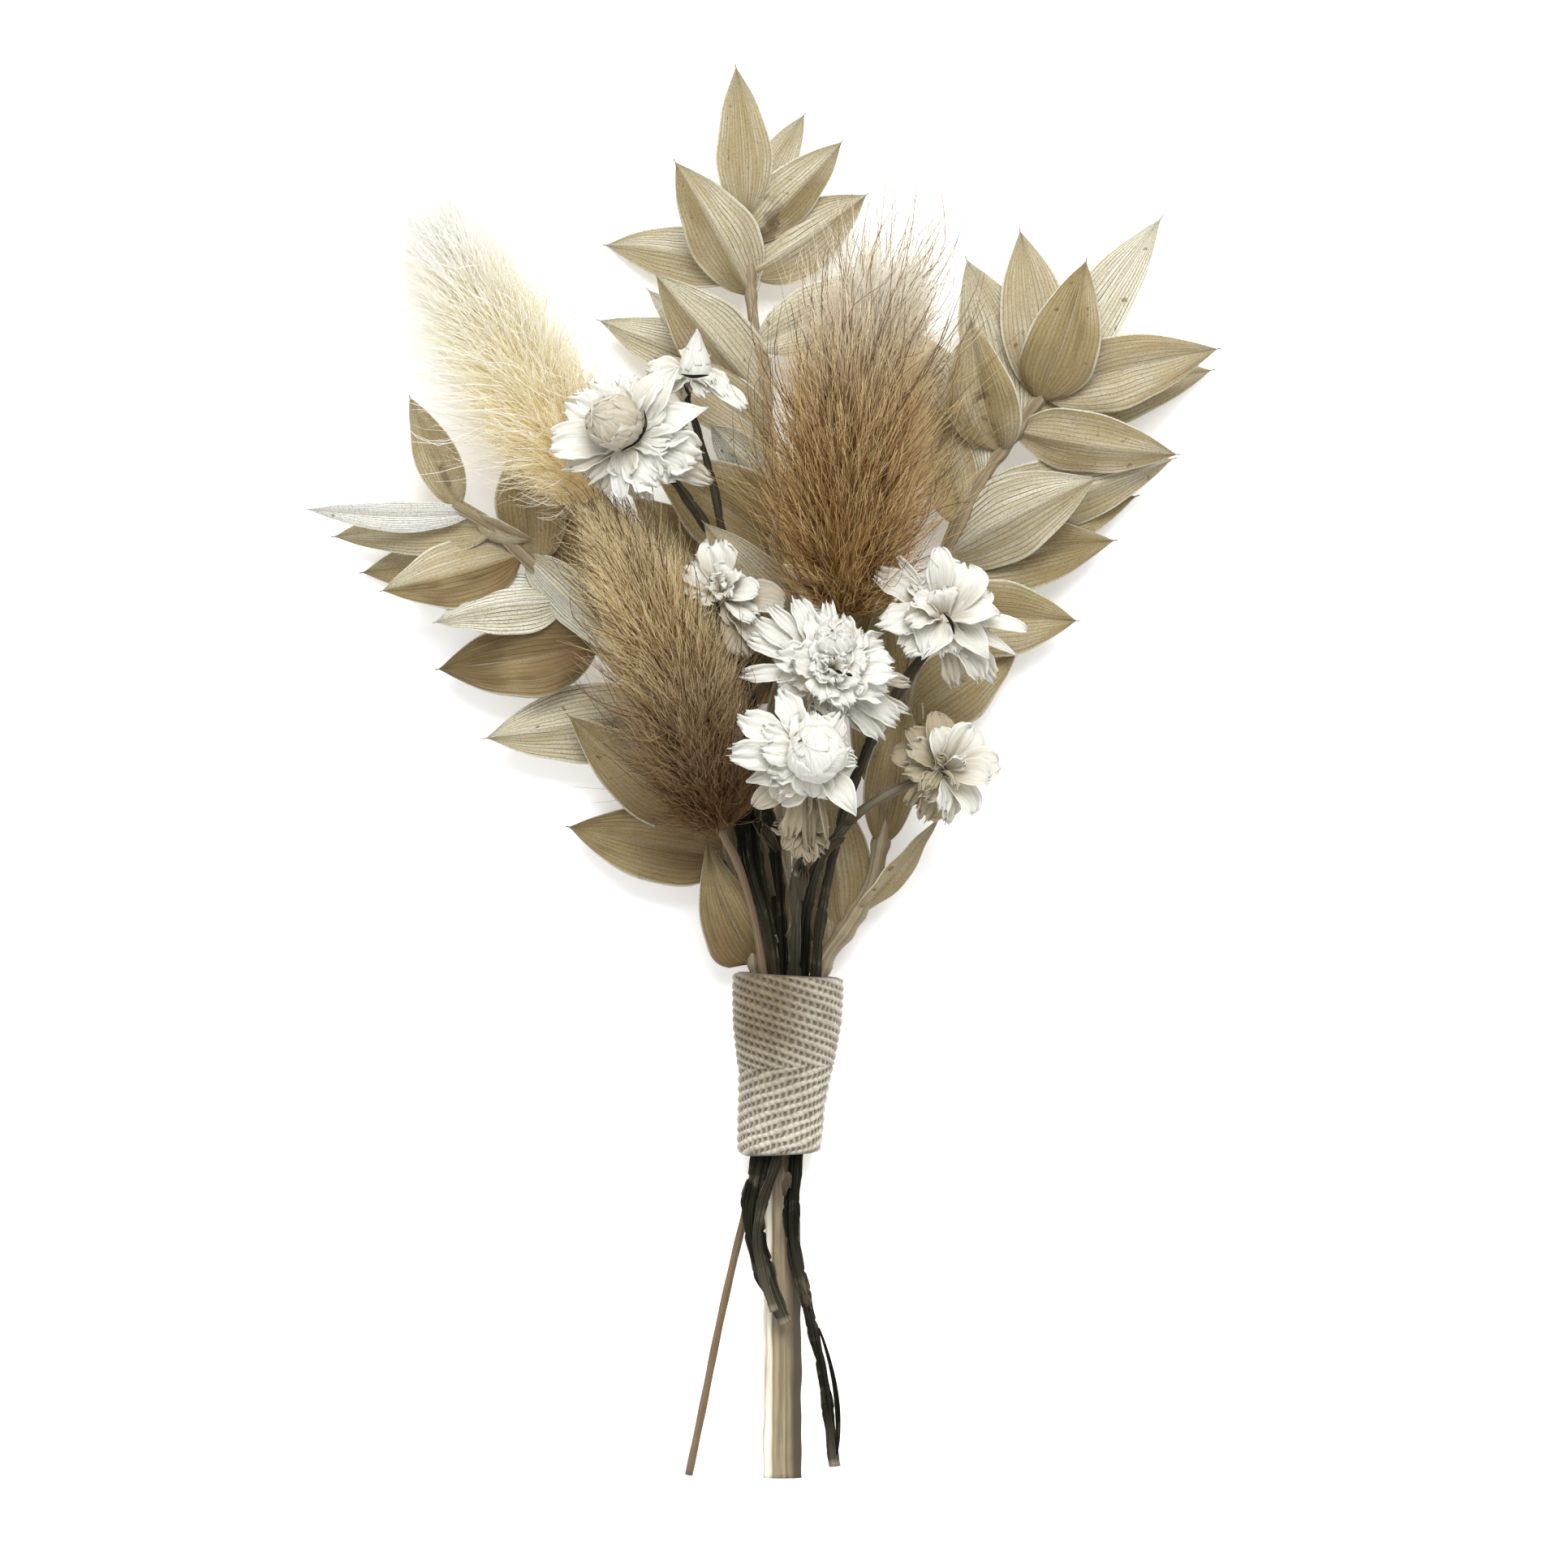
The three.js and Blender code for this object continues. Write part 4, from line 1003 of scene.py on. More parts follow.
# The twig is made with the centre spray, from the same random draws, so it needs no node or seed of its own.
CENTRE_TWIG = RuscusSpray(
    node="",
    seed=0,
    stem=[(-1.1, 42.5, 3.7), (-0.4, 45.5, 6.4), (0.9, 49, 9.4), (1.9, 51.6, 11.2)],
    width=[1.2, 1.1, 1.0, 0.9],
    height=[1.2, 1.1, 1.0, 0.9],
    leaves=[Leaf(51.2, (-10.5, 67.0, 14.6), 8.4, 6, -14, 0.8, 0.3, 0.2)],
)

CENTRE_SPRAY = RuscusSpray(
    node="ruscus_centre",
    seed=11,
    stem=[
        (-0.7, -51.3, 3.5), (-0.7, -30, 3.5), (-0.8, -11, 3.7), (-0.6, 0, 3.8), (-0.3, 12, 3.9),
        (-0.8, 32, 3.6), (-1.5, 52, 3.8), (-2.0, 71, 4.4), (-2.7, 82, 5.2), (-4.2, 92, 6.0),
        (-4.8, 99, 6.6), (-5.2, 105, 7.0),
    ],
    width=[4.6, 4.5, 4.4, 4.0, 3.2, 2.2, 2.0, 1.8, 1.6, 1.5, 1.3, 1.1],
    height=[3.0, 3.0, 3.0, 2.8, 2.6, 2.0, 1.8, 1.7, 1.5, 1.4, 1.2, 1.1],
    leaves=[
        Leaf(104.6, (-6.4, 123.4, 9.0), 7.0, 4, 8, 1.2, 0.3),
        Leaf(102.6, (2.3, 117.7, 0.3), 6.2, -10, 12, 0.4),
        Leaf(101.6, (7.0, 114.0, 8.5), 7.6, 14, -24, 1.2, 0.3, -0.3),
        Leaf(97.6, (10.0, 107.7, 4.6), 9.6, 6, -20, 1.0, 0.4, -0.2),
        Leaf(95.0, (-14.0, 111.6, 10.5), 9.6, -8, -24, 1.6, 0.3, 0.3),
        Leaf(98.0, (-23.0, 101.6, 0.3), 8.2, 12, -22, 0.6, 0.45, 0.2),
        Leaf(82.0, (-16.5, 97.7, 10.5), 10.4, -6, -26, 1.6, 0.4, 0.48),
        Leaf(86.0, (-23.7, 92.2, 3.0), 8.2, 10, -20, 0.8, 0.55, 0.3),
        Leaf(84.0, (-17.6, 96.2, 2.2), 5.6, 0, 10, 0.6, 0.8),
        Leaf(88.6, (15.4, 97.6, 3.4), 8.6, -8, 18, 1.0, 0.8),
        Leaf(77.0, (-17.0, 87.6, 6.0), 8.0, 6, 14, 1.2, 0.3),
        Leaf(64.0, (-17.0, 74.6, 6.2), 12.0, 4, 12, 1.0, 0.0, 0.0, 0.5),
        Leaf(56.0, (-19.6, 70.6, 3.6), 9.4, 0, 10, 0.6, -0.05),
        Leaf(71.0, (-9.6, 79.4, 8.4), 6.6, -20, -16, 0.8, 1.1, -0.6),
        Leaf(62.0, (13.6, 77.0, 3.8), 8.6, 6, 14, 1.0, 0.2),
        Leaf(45.0, (-16.4, 62.4, 2.8), 11.0, 0, 12, 0.8, -0.1),
        Leaf(38.0, (11.2, 58.0, 2.4), 10.4, 0, 12, 0.8, 0.0),
    ],
    twigs=[CENTRE_TWIG],
    split=-12.0,
)

RIGHT_SPRAY = RuscusSpray(
    node="ruscus_right",
    seed=23,
    stem=[
        (3.0, -2.0, 4.9), (3.5, 5, 5.1), (4.2, 12, 5.4), (7.6, 17.2, 5.9), (10.4, 22.2, 6.3),
        (11.5, 27.2, 6.6), (13, 35.2, 6.8), (14.5, 43.2, 6.9), (17, 55.2, 7.0), (19.5, 63.2, 7.2),
        (21.5, 67.2, 7.4), (24, 72.2, 7.6), (27.5, 77.2, 8.0), (30, 80.7, 8.2), (32.4, 83.8, 8.4),
    ],
    width=[1.8, 1.9, 2.0, 2.0, 2.0, 1.9, 1.8, 1.8, 1.7, 1.7, 1.6, 1.6, 1.5, 1.4, 1.1],
    height=[1.8, 1.9, 1.9, 1.9, 1.9, 1.8, 1.7, 1.7, 1.6, 1.6, 1.5, 1.5, 1.4, 1.3, 1.1],
    leaves=[
        Leaf(83.0, (46.5, 105.0, 6.0), 8.0, -16, 10, 1.0, 0.84),
        Leaf(82.4, (28.7, 103.4, 4.2), 9.0, 4, 10, 1.0, 0.26),
        Leaf(82.0, (36.8, 99.2, 13.4), 9.6, 0, 8, 2.4, 0.0),
        Leaf(82.8, (53.5, 88.4, 8.6), 9.2, 8, 10, 1.4, 0.25),
        Leaf(81.4, (53.0, 86.0, 0.3), 9.0, 0, 10, -0.8, 0.2),
        Leaf(78.4, (22.0, 99.8, 4.4), 10.4, 6, 8, 0.8, 0.5),
        Leaf(75.6, (22.6, 92.2, 13.0), 9.4, -10, 14, 2.2, 0.16, 0.0, 0.65, 0.9),
        Leaf(78.2, (48.5, 75.4, 8.4), 8.4, 22, -12, 1.8, 0.25),
        Leaf(68.0, (48.2, 75.0, 4.6), 10.0, 10, -20, 1.4, 0.35, -0.2),
        Leaf(62.6, (38.4, 72.4, 12.0), 11.4, -6, -24, 2.2, 0.54, -0.36),
        Leaf(65.0, (43.6, 70.4, 1.6), 9.0, 0, 12, 0.2, 0.25),
        Leaf(60.6, (41.0, 64.8, 3.2), 9.4, 6, 10, 0.8, 0.1),
        Leaf(55.0, (36.2, 54.8, 3.6), 10.2, 8, 12, 0.8, 0.1),
        Leaf(42.0, (29.0, 51.6, 2.6), 9.6, 4, 10, 0.6, 0.05),
        Leaf(66.6, (16.4, 83.4, 6.6), 7.4, 10, 10, 1.0, 0.2, 0.0, 0.65, 0.9),
        Leaf(72.0, (12.6, 92.4, 4.0), 10.4, 0, 8, 0.2, 0.75),
        Leaf(18.6, (18.6, 31.0, 7.4), 5.6, 58, 8, 0.6, 0.1),
        Leaf(16.4, (4.6, 36.4, 5.4), 8.4, -4, -16, 0.8, 0.05),
        Leaf(12.2, (3.2, 27.0, 3.2), 4.4, 0, 10, 0.4, 0.0, 0.0, 0.4),
        Leaf(27.2, (14.6, 46.4, 8.4), 7.2, 20, 10, 1.0, -0.1),
        Leaf(33.0, (12.4, 60.0, 4.6), 9.4, 0, 8, 0.4, 0.05, 0.0, 0.5),
    ],
)

LEFT_SPRAY = RuscusSpray(
    node="ruscus_left",
    seed=37,
    stem=[
        (-3.6, 4.6, 4.6), (-3.7, 12, 4.9), (-7, 26.2, 4.9), (-14, 41.2, 5.1), (-23, 51.2, 6.0),
        (-28, 58.2, 6.8), (-33, 63.2, 7.4), (-37, 66.7, 8.0), (-41.2, 69.2, 8.4),
    ],
    width=[1.8, 1.8, 1.8, 1.7, 1.6, 1.5, 1.4, 1.3, 1.1],
    height=[1.8, 1.8, 1.7, 1.6, 1.5, 1.4, 1.3, 1.2, 1.1],
    leaves=[
        Leaf(68.8, (-46.6, 82.6, 9.4), 5.6, 10, 8, 0.8, 0.2, 0.0, 0.65, 0.5),
        Leaf(68.0, (-59.7, 68.7, 8.2), 4.0, -16, 10, 0.6, 1.5),
        Leaf(66.0, (-56.6, 65.2, 2.2), 6.6, 0, 10, 0.4, 0.3),
        Leaf(64.0, (-53.0, 60.8, 0.3), 8.2, 0, 10, -0.8, 0.15),
        Leaf(63.0, (-50.3, 58.4, 9.6), 9.8, 14, -24, 1.8, 0.14, 0.6),
        Leaf(57.4, (-43.6, 54.6, 10.6), 8.6, 16, -22, 1.4, 0.9, 0.3),
        Leaf(61.4, (-31.6, 79.8, 5.4), 9.0, 0, 8, 0.8, 0.0),
        Leaf(62.6, (-19.4, 49.6, 9.4), 6.8, 24, -22, 1.6, 0.8, 0.4),
        Leaf(51.6, (-43.6, 48.8, 4.6), 10.2, 4, 12, 1.0, -0.25),
        Leaf(43.6, (-37.7, 40.2, 5.6), 10.6, 10, -20, 1.4, 0.5, 0.3),
        Leaf(29.0, (-27.3, 43.4, 9.4), 9.8, -12, -16, 1.8, 0.02, 0.2),
        Leaf(25.4, (-27.5, 29.4, 3.0), 10.0, 4, 10, 0.8, -0.1),
        Leaf(12.4, (-10.0, 28.0, 8.6), 8.8, -14, 10, 2.0, -0.15, 0.0, 0.28),
        Leaf(13.0, (-6.5, 38.0, 3.8), 10.0, 0, 8, 0.2, -0.1, 0.0, 0.4),
        Leaf(56.4, (-24.4, 73.4, 3.4), 10.6, 0, 10, 0.4, -0.1),
        Leaf(67.6, (-31.2, 64.6, 8.6), 3.4, 34, 20, 0.4, 0.2),
    ],
)


# ---- Hare's-tail grasses ----


class Fluff(Enum):
    """The kinds of hair on a grass head."""

    DOWN = "down"
    HAZE = "haze"
    AWN = "awn"


@dataclass(frozen=True)
class HairKind:
    """How one kind of hair grows.

    Attributes:
        tufts: Tufts on a head.
        hairs: Hairs in a tuft.
        steps: Points along a hair.
        radius: Half its thickness at the root, in mm.
        stretch: Its length as a share of the head's hair length.
        first: Where on the head the lowest tuft grows, as a share of its length.
        opening: Its angle to the head's line at the head's foot and tip, in degrees.
        closing: What is left of that angle at the hair's end.
        clump: How far the hairs of a tuft draw together at their ends.
        wander: How far its course strays, as a share of its length.
    """

    tufts: int
    hairs: int
    steps: int
    radius: float
    stretch: float
    first: float
    opening: tuple[float, float]
    closing: float
    clump: float
    wander: float


HAIR_KINDS = {
    Fluff.DOWN: HairKind(560, 11, 4, 0.05, 1.0, 0.0, (72.0, 28.0), 0.5, 0.3, 0.06),
    Fluff.HAZE: HairKind(450, 3, 5, 0.034, 1.5, 0.0, (84.0, 32.0), 0.6, 0.1, 0.08),
    Fluff.AWN: HairKind(200, 2, 8, 0.07, 1.9, 0.03, (66.0, 20.0), 0.22, 0.05, 0.09),
}


@dataclass
class GrassHead:
    """A hare's-tail head: a dense spindle of down on a slim core, with long awns, and its thin stalk.

    Attributes:
        name: Ends the names of its two nodes.
        seed: Starts its random draws.
        axis: What its middle line goes through, from its seat to its tip, in mm.
        core: The core's half thickness.
        hair: The down's usual length.
        stalk: What its stalk goes through, up to the seat.
        stalk_width: The stalk's thickness.
        spread: How much wider than usual its hairs stand.
        lean: Which way its awns lean.
        awn_spread: How much wider than usual its awns stand.
        clump: How far its tufts draw together, as a share of the usual.
        lengths: Its hairs' lengths at its foot, at 0.2 and 0.7 of its length and at its tip, as shares of
            the usual.
    """

    name: str
    seed: int
    axis: list[Point]
    core: float
    hair: float
    stalk: list[Point]
    stalk_width: float
    spread: float = 1.0
    lean: Point = (0.0, 0.0, 0.0)
    awn_spread: float = 1.2
    clump: float = 1.0
    lengths: tuple[float, ...] = (0.62, 1.0, 0.95, 0.72)

    CORE_SHARE = 0.6
    LENGTH_PLACES = (0.0, 0.2, 0.7, 1.0)
    LOWEST_HAIR = 0.3  # the lowest that a hair's middle line may come over the floor, in mm
    STALK_SIDES = 12
    STALK_STEP_MM = 0.7

    @staticmethod
    def swell(share: Array) -> Array:
        """The half thickness at a share of the length, as a share of the largest: a skewed sine arch."""
        return np.sin(math.pi * (0.04 + 0.93 * share) ** 0.72) ** 0.62

    def core_skin(self) -> Patch:
        """Makes the core: a round spindle along the axis, roughened by rows of small scales."""
        share = np.linspace(0, 1, 70)
        column = share[:, None]
        angle = once_round(36)
        scales = 1 + 0.06 * np.cos(9 * angle + 60 * column) * np.cos(9 * angle - 60 * column)
        radius = 1.1 * self.CORE_SHARE * self.core * self.swell(column) * scales
        rings = Path(self.axis).rings(share, radius * np.cos(angle), radius * np.sin(angle))
        return tube(rings, on_grid(radius.shape, along=0.2, shade=0.45, place=column))

    def hair_skin(self, fluff: Fluff, dice: np.random.Generator) -> Patch:
        """Grows one kind of hair.

        Hairs stand in tufts that share a place and a bias. A hair leaves the core at its opening angle to
        the head's line and turns towards that line, so that its course is the integral of a direction
        that changes evenly, with a slow sine for its wander, and drawn towards its tuft's own line at its
        end. Its thickness falls to about a third.

        Args:
            fluff: Which kind.
            dice: Draws tufts, lengths and bends.

        Returns:
            The hairs' closed skins.
        """
        kind = HAIR_KINDS[fluff]
        path = Path(self.axis)
        count = kind.tufts * kind.hairs
        tuft = np.repeat(np.arange(kind.tufts), kind.hairs)
        tuft_share = kind.first + (0.985 - kind.first) * (np.arange(kind.tufts) + 0.5) / kind.tufts
        tuft_turn = GOLDEN_ANGLE * np.arange(kind.tufts)
        tuft_bias = dice.normal(0, 0.12, (kind.tufts, 3))
        share = np.clip(tuft_share[tuft] + dice.normal(0, 0.018, count), 0.006, 0.99)
        turn = tuft_turn[tuft] + dice.normal(0, 0.24, count)
        at, ahead, side, up = path.frames(share)
        out = side * np.cos(turn)[:, None] + up * np.sin(turn)[:, None]
        root = at + out * (self.CORE_SHARE * self.core * self.swell(share))[:, None]
        first = root.reshape(kind.tufts, kind.hairs, 3).mean(axis=1)[tuft]
        opening = np.radians(np.interp(share, [0, 1], kind.opening))
        opening = opening * (self.awn_spread if fluff is Fluff.AWN else self.spread)
        opening = (opening * (1 + 0.2 * dice.normal(0, 1, count)))[:, None]
        bias = tuft_bias[tuft] + np.array(self.lean) * (1.0 if fluff is Fluff.AWN else 0.12)
        start = unit(out * np.sin(opening) + ahead * np.cos(opening) + dice.normal(0, 0.06, (count, 3)))
        closed = opening * kind.closing
        end = unit(out * np.sin(closed) + ahead * np.cos(closed) + bias + dice.normal(0, 0.12, (count, 3)))
        length = self.hair * kind.stretch * np.interp(share, self.LENGTH_PLACES, self.lengths)
        length = (length * np.clip(1 + 0.2 * dice.normal(0, 1, count), 0.5, 1.5))[:, None, None]
        s = np.linspace(0, 1, kind.steps)[None, :, None]
        course = start[:, None] * (s - s * s / 2) + end[:, None] * s * s / 2
        phase = dice.uniform(0, 2 * math.pi, (count, 1, 3))
        wander = kind.wander * dice.normal(0, 1, (count, 1, 3)) * np.sin(5.0 * s + phase) * s
        tips = (course[:, -1] * length[:, 0]).reshape(kind.tufts, kind.hairs, 3).mean(axis=1)[tuft]
        drawn = self.clump * kind.clump * (first - root + tips - course[:, -1] * length[:, 0])
        centres = root[:, None] + (course + wander) * length + drawn[:, None] * s**2
        centres[..., 2] = np.maximum(centres[..., 2], self.LOWEST_HAIR)
        radii = kind.radius * (1 - 0.65 * s[..., 0] ** 2) * dice.uniform(0.7, 1.3, (count, 1))
        tuft_shade = dice.uniform(0, 1, kind.tufts)[tuft]
        shade = (0.6 * tuft_shade + 0.4 * dice.uniform(0, 1, count))[:, None]
        marks = on_grid(radii.shape, along=s[..., 0], shade=shade, place=share[:, None])
        return strands(centres, radii, marks, finish=int(fluff is Fluff.AWN))

    def stalk_skin(self) -> Patch:
        """Makes the stalk: a thin rod with four faint ribs and a slow ripple, square to the head's seat."""
        seat, following = (np.array(point) for point in self.axis[:2])
        path = Path([*self.stalk, *seat_run(seat, unit(following - seat))])
        share = np.linspace(0, 1, max(int(path.length / self.STALK_STEP_MM), self.STALK_SIDES))
        angle = once_round(self.STALK_SIDES)
        run = share[:, None] * path.length
        radius = self.stalk_width / 2 * (1 + 0.05 * np.sin(0.9 * run) + 0.06 * np.cos(4 * angle))
        rings = path.rings(share, radius * np.cos(angle), radius * np.sin(angle))
        return tube(rings, on_grid(radius.shape, along=run, across=angle / (2 * math.pi)))

    def build(
        self, down: bpy.types.Material, awn: bpy.types.Material, slot: str, wood: bpy.types.Material
    ) -> list[bpy.types.Object]:
        """Makes the head's and the stalk's pieces.

        Args:
            down: The down's material.
            awn: The awns' material.
            slot: Not used.
            wood: The stalk's material.

        Returns:
            The head and the stalk.
        """
        dice = np.random.default_rng(self.seed)
        skins = [self.core_skin(), *(self.hair_skin(fluff, dice) for fluff in Fluff)]
        head = make_piece(f"grass_fluff_{self.name}", skins, [down, awn])
        stalk = make_piece(f"grass_stem_{self.name}", [self.stalk_skin()], [wood])
        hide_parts(f"grass_head_{self.name}")
        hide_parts(f"grass_stalk_{self.name}")
        for piece in (head, stalk):
            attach(piece, "root")
        return [head, stalk]


CREAM_HEAD = GrassHead(
    name="cream",
    seed=51,
    axis=[(-23.8, 70, 12.8), (-29, 78.4, 14.2), (-34.8, 88.2, 15.4), (-39.6, 96.4, 15.6), (-43, 103, 15.0)],
    core=5.4,
    hair=7.8,
    stalk=[
        (-12.2, -51, 3.0), (-10.5, -42.8, 3.1), (-8.5, -32.8, 3.3), (-6.5, -23.8, 3.7),
        (-5.3, -18.8, 4.0), (-3.8, -11, 4.6), (-3.3, 0, 5.5), (-2.7, 9, 6.2), (-2.1, 15, 5.3),
        (-4.0, 25, 5.9), (-9.2, 40, 7.6), (-15.4, 55, 9.2), (-20.6, 65, 11.2),
    ],
    stalk_width=0.9,
    spread=1.14,
    lean=(-0.6, -0.3, 0.15),
    awn_spread=1.4,
    clump=0.2,
    lengths=(0.36, 0.8, 1.0, 0.78),
)

LEFT_HEAD = GrassHead(
    name="brown_left",
    seed=53,
    axis=[(-8.2, 29.6, 16.6), (-10.4, 36, 18.8), (-13, 46, 20.4), (-17.4, 57, 20.8), (-23.2, 67.2, 19.8)],
    core=5.0,
    hair=7.2,
    stalk=[(-2.6, 4, 8.0), (-2.9, 11, 8.5), (-4.5, 20, 11.2), (-6.6, 26, 14.2)],
    stalk_width=1.0,
    spread=1.02,
    lean=(-0.3, 0.3, 0.1),
    lengths=(0.62, 1.0, 0.8, 0.4),
)

RIGHT_HEAD = GrassHead(
    name="brown_right",
    seed=57,
    axis=[
        (7.2, 56, 17.4), (7.4, 62, 19.6), (7.7, 71, 20.8), (8.6, 81, 21.0), (10.2, 89, 20.6),
        (11.8, 94.6, 20.0),
    ],
    core=6.4,
    hair=9.6,
    stalk=[(1.8, 3, 6.0), (1.9, 11, 6.0), (2.5, 25, 8.8), (4.5, 40, 12.0), (6.5, 50, 15.0)],
    stalk_width=0.9,
    spread=0.98,
    lean=(0.16, 0.4, 0.0),
)


# ---- Winged everlastings ----


class PetalEnd(Enum):
    """How a petal ends."""

    RAGGED = "ragged"
    ROUND = "round"
    POINT = "point"


@dataclass(frozen=True)
class Petal:
    """One papery petal of a bloom, in mm and degrees.

    Attributes:
        x: Its tip's x.
        y: Its tip's y.
        rise: Its tip's height over the bloom's seat.
        width: Its widest.
        roll: Its turn about its own length.
        curl: How far its middle arches off the line from root to tip, towards the way the bloom faces.
        tone: 0 for white and 1 for tan.
        end: How it ends.
    """

    x: float
    y: float
    rise: float
    width: float
    roll: float = 0.0
    curl: float = 0.8
    tone: float = 0.0
    end: PetalEnd = PetalEnd.RAGGED

    ROWS = 19
    COLUMNS = 25
    THICKNESS = 0.12

    def outline(self, u: Array) -> Array:
        """The half width at shares u of the length, as a share of the widest.

        A petal widens from its claw as a smooth step. A ragged end stays broad like a fan, a round one
        closes as an ellipse, and a pointed one narrows from its middle on.
        """
        widening = 0.34 + 0.66 * smoothstep(-0.05, 0.6, u)
        if self.end is PetalEnd.POINT:
            return widening * np.clip(1 - np.clip((u - 0.5) / 0.5, 0, 1) ** 1.4, 0.03, 1)
        first, least = (0.78, 0.62) if self.end is PetalEnd.RAGGED else (0.62, 0.06)
        closing = (np.clip(u - first, 0, None) / (1.02 - first)) ** 2
        return widening * np.sqrt(np.clip(1 - closing, least**2, 1))

    def skin(self, root: Array, facing: Array, height: float, dice: np.random.Generator) -> Patch:
        """Makes the petal's closed blade.

        Its middle line is a quadratic curve from root to tip over a raised middle point. Across, it is
        cupped as a parabola with a rolled rim, creased along its length, and ruffled by short waves
        towards a ragged end, whose teeth are waves across it too.

        Args:
            root: Where it starts.
            facing: The way the bloom opens.
            height: The seat's z.
            dice: Draws its small differences.

        Returns:
            The blade with its marks.
        """
        u = np.linspace(0, 1, self.ROWS)[:, None]
        v = np.linspace(-1, 1, self.COLUMNS)[None, :]
        tip = np.array([self.x, self.y, height + self.rise])
        middle = (root + tip) / 2 + facing * 2 * self.curl
        line = (1 - u) ** 2 * root + 2 * u * (1 - u) * middle + u * u * tip
        ahead = unit(np.gradient(line, axis=0))
        across = unit(np.cross(tip - root, facing))
        normal = np.cross(across, ahead)
        turn = math.radians(self.roll) + 0.25 * dice.normal(0, 1) * (u - 0.5)
        cosine, sine = np.cos(turn), np.sin(turn)
        across, normal = across * cosine + normal * sine, normal * cosine - across * sine
        phases = dice.uniform(0, 2 * math.pi, (5, 3))
        ragged = 1.0 if self.end is PetalEnd.RAGGED else 0.3
        margin = 1 + 0.12 * ragged * ripple(9 * u + 2 * np.sign(v), phases[0])
        half = 0.57 * self.width * self.outline(u) * margin
        teeth = 0.6 * ripple(3 * v, phases[1]) + 0.5 * ripple(15 * v, phases[2])
        teeth = ragged * (teeth - 0.1 * self.width * v * v)
        cup = dice.uniform(0.05, 0.3) * half * v * v
        rim = 0.1 * smoothstep(0.8, 1.0, np.abs(v))
        crease = 0.05 * self.width * ripple(3.5 * v + 1.5 * u, phases[3])
        ruffle = 0.07 * self.width * ripple(9 * u + 6 * v, phases[4]) * u**1.5 * (0.4 + 0.6 * ragged)
        frill = 0.34 * ragged * np.sin(9.5 * v + 4 * u + phases[0][0]) * np.maximum(u, np.abs(v)) ** 4
        lift = cup + rim + crease * smoothstep(0, 0.4, u) + ruffle + frill
        grid = line[:, None] + across[:, None] * (v * half)[..., None] + normal[:, None] * lift[..., None]
        grid = grid + ahead[:, None] * (teeth * u**4)[..., None]
        tone = self.tone + dice.uniform(-0.05, 0.05)
        marks = on_grid((self.ROWS, self.COLUMNS), along=u, across=v, tone=tone, seed=dice.uniform(0, 1))
        return shell(grid, self.THICKNESS, marks)


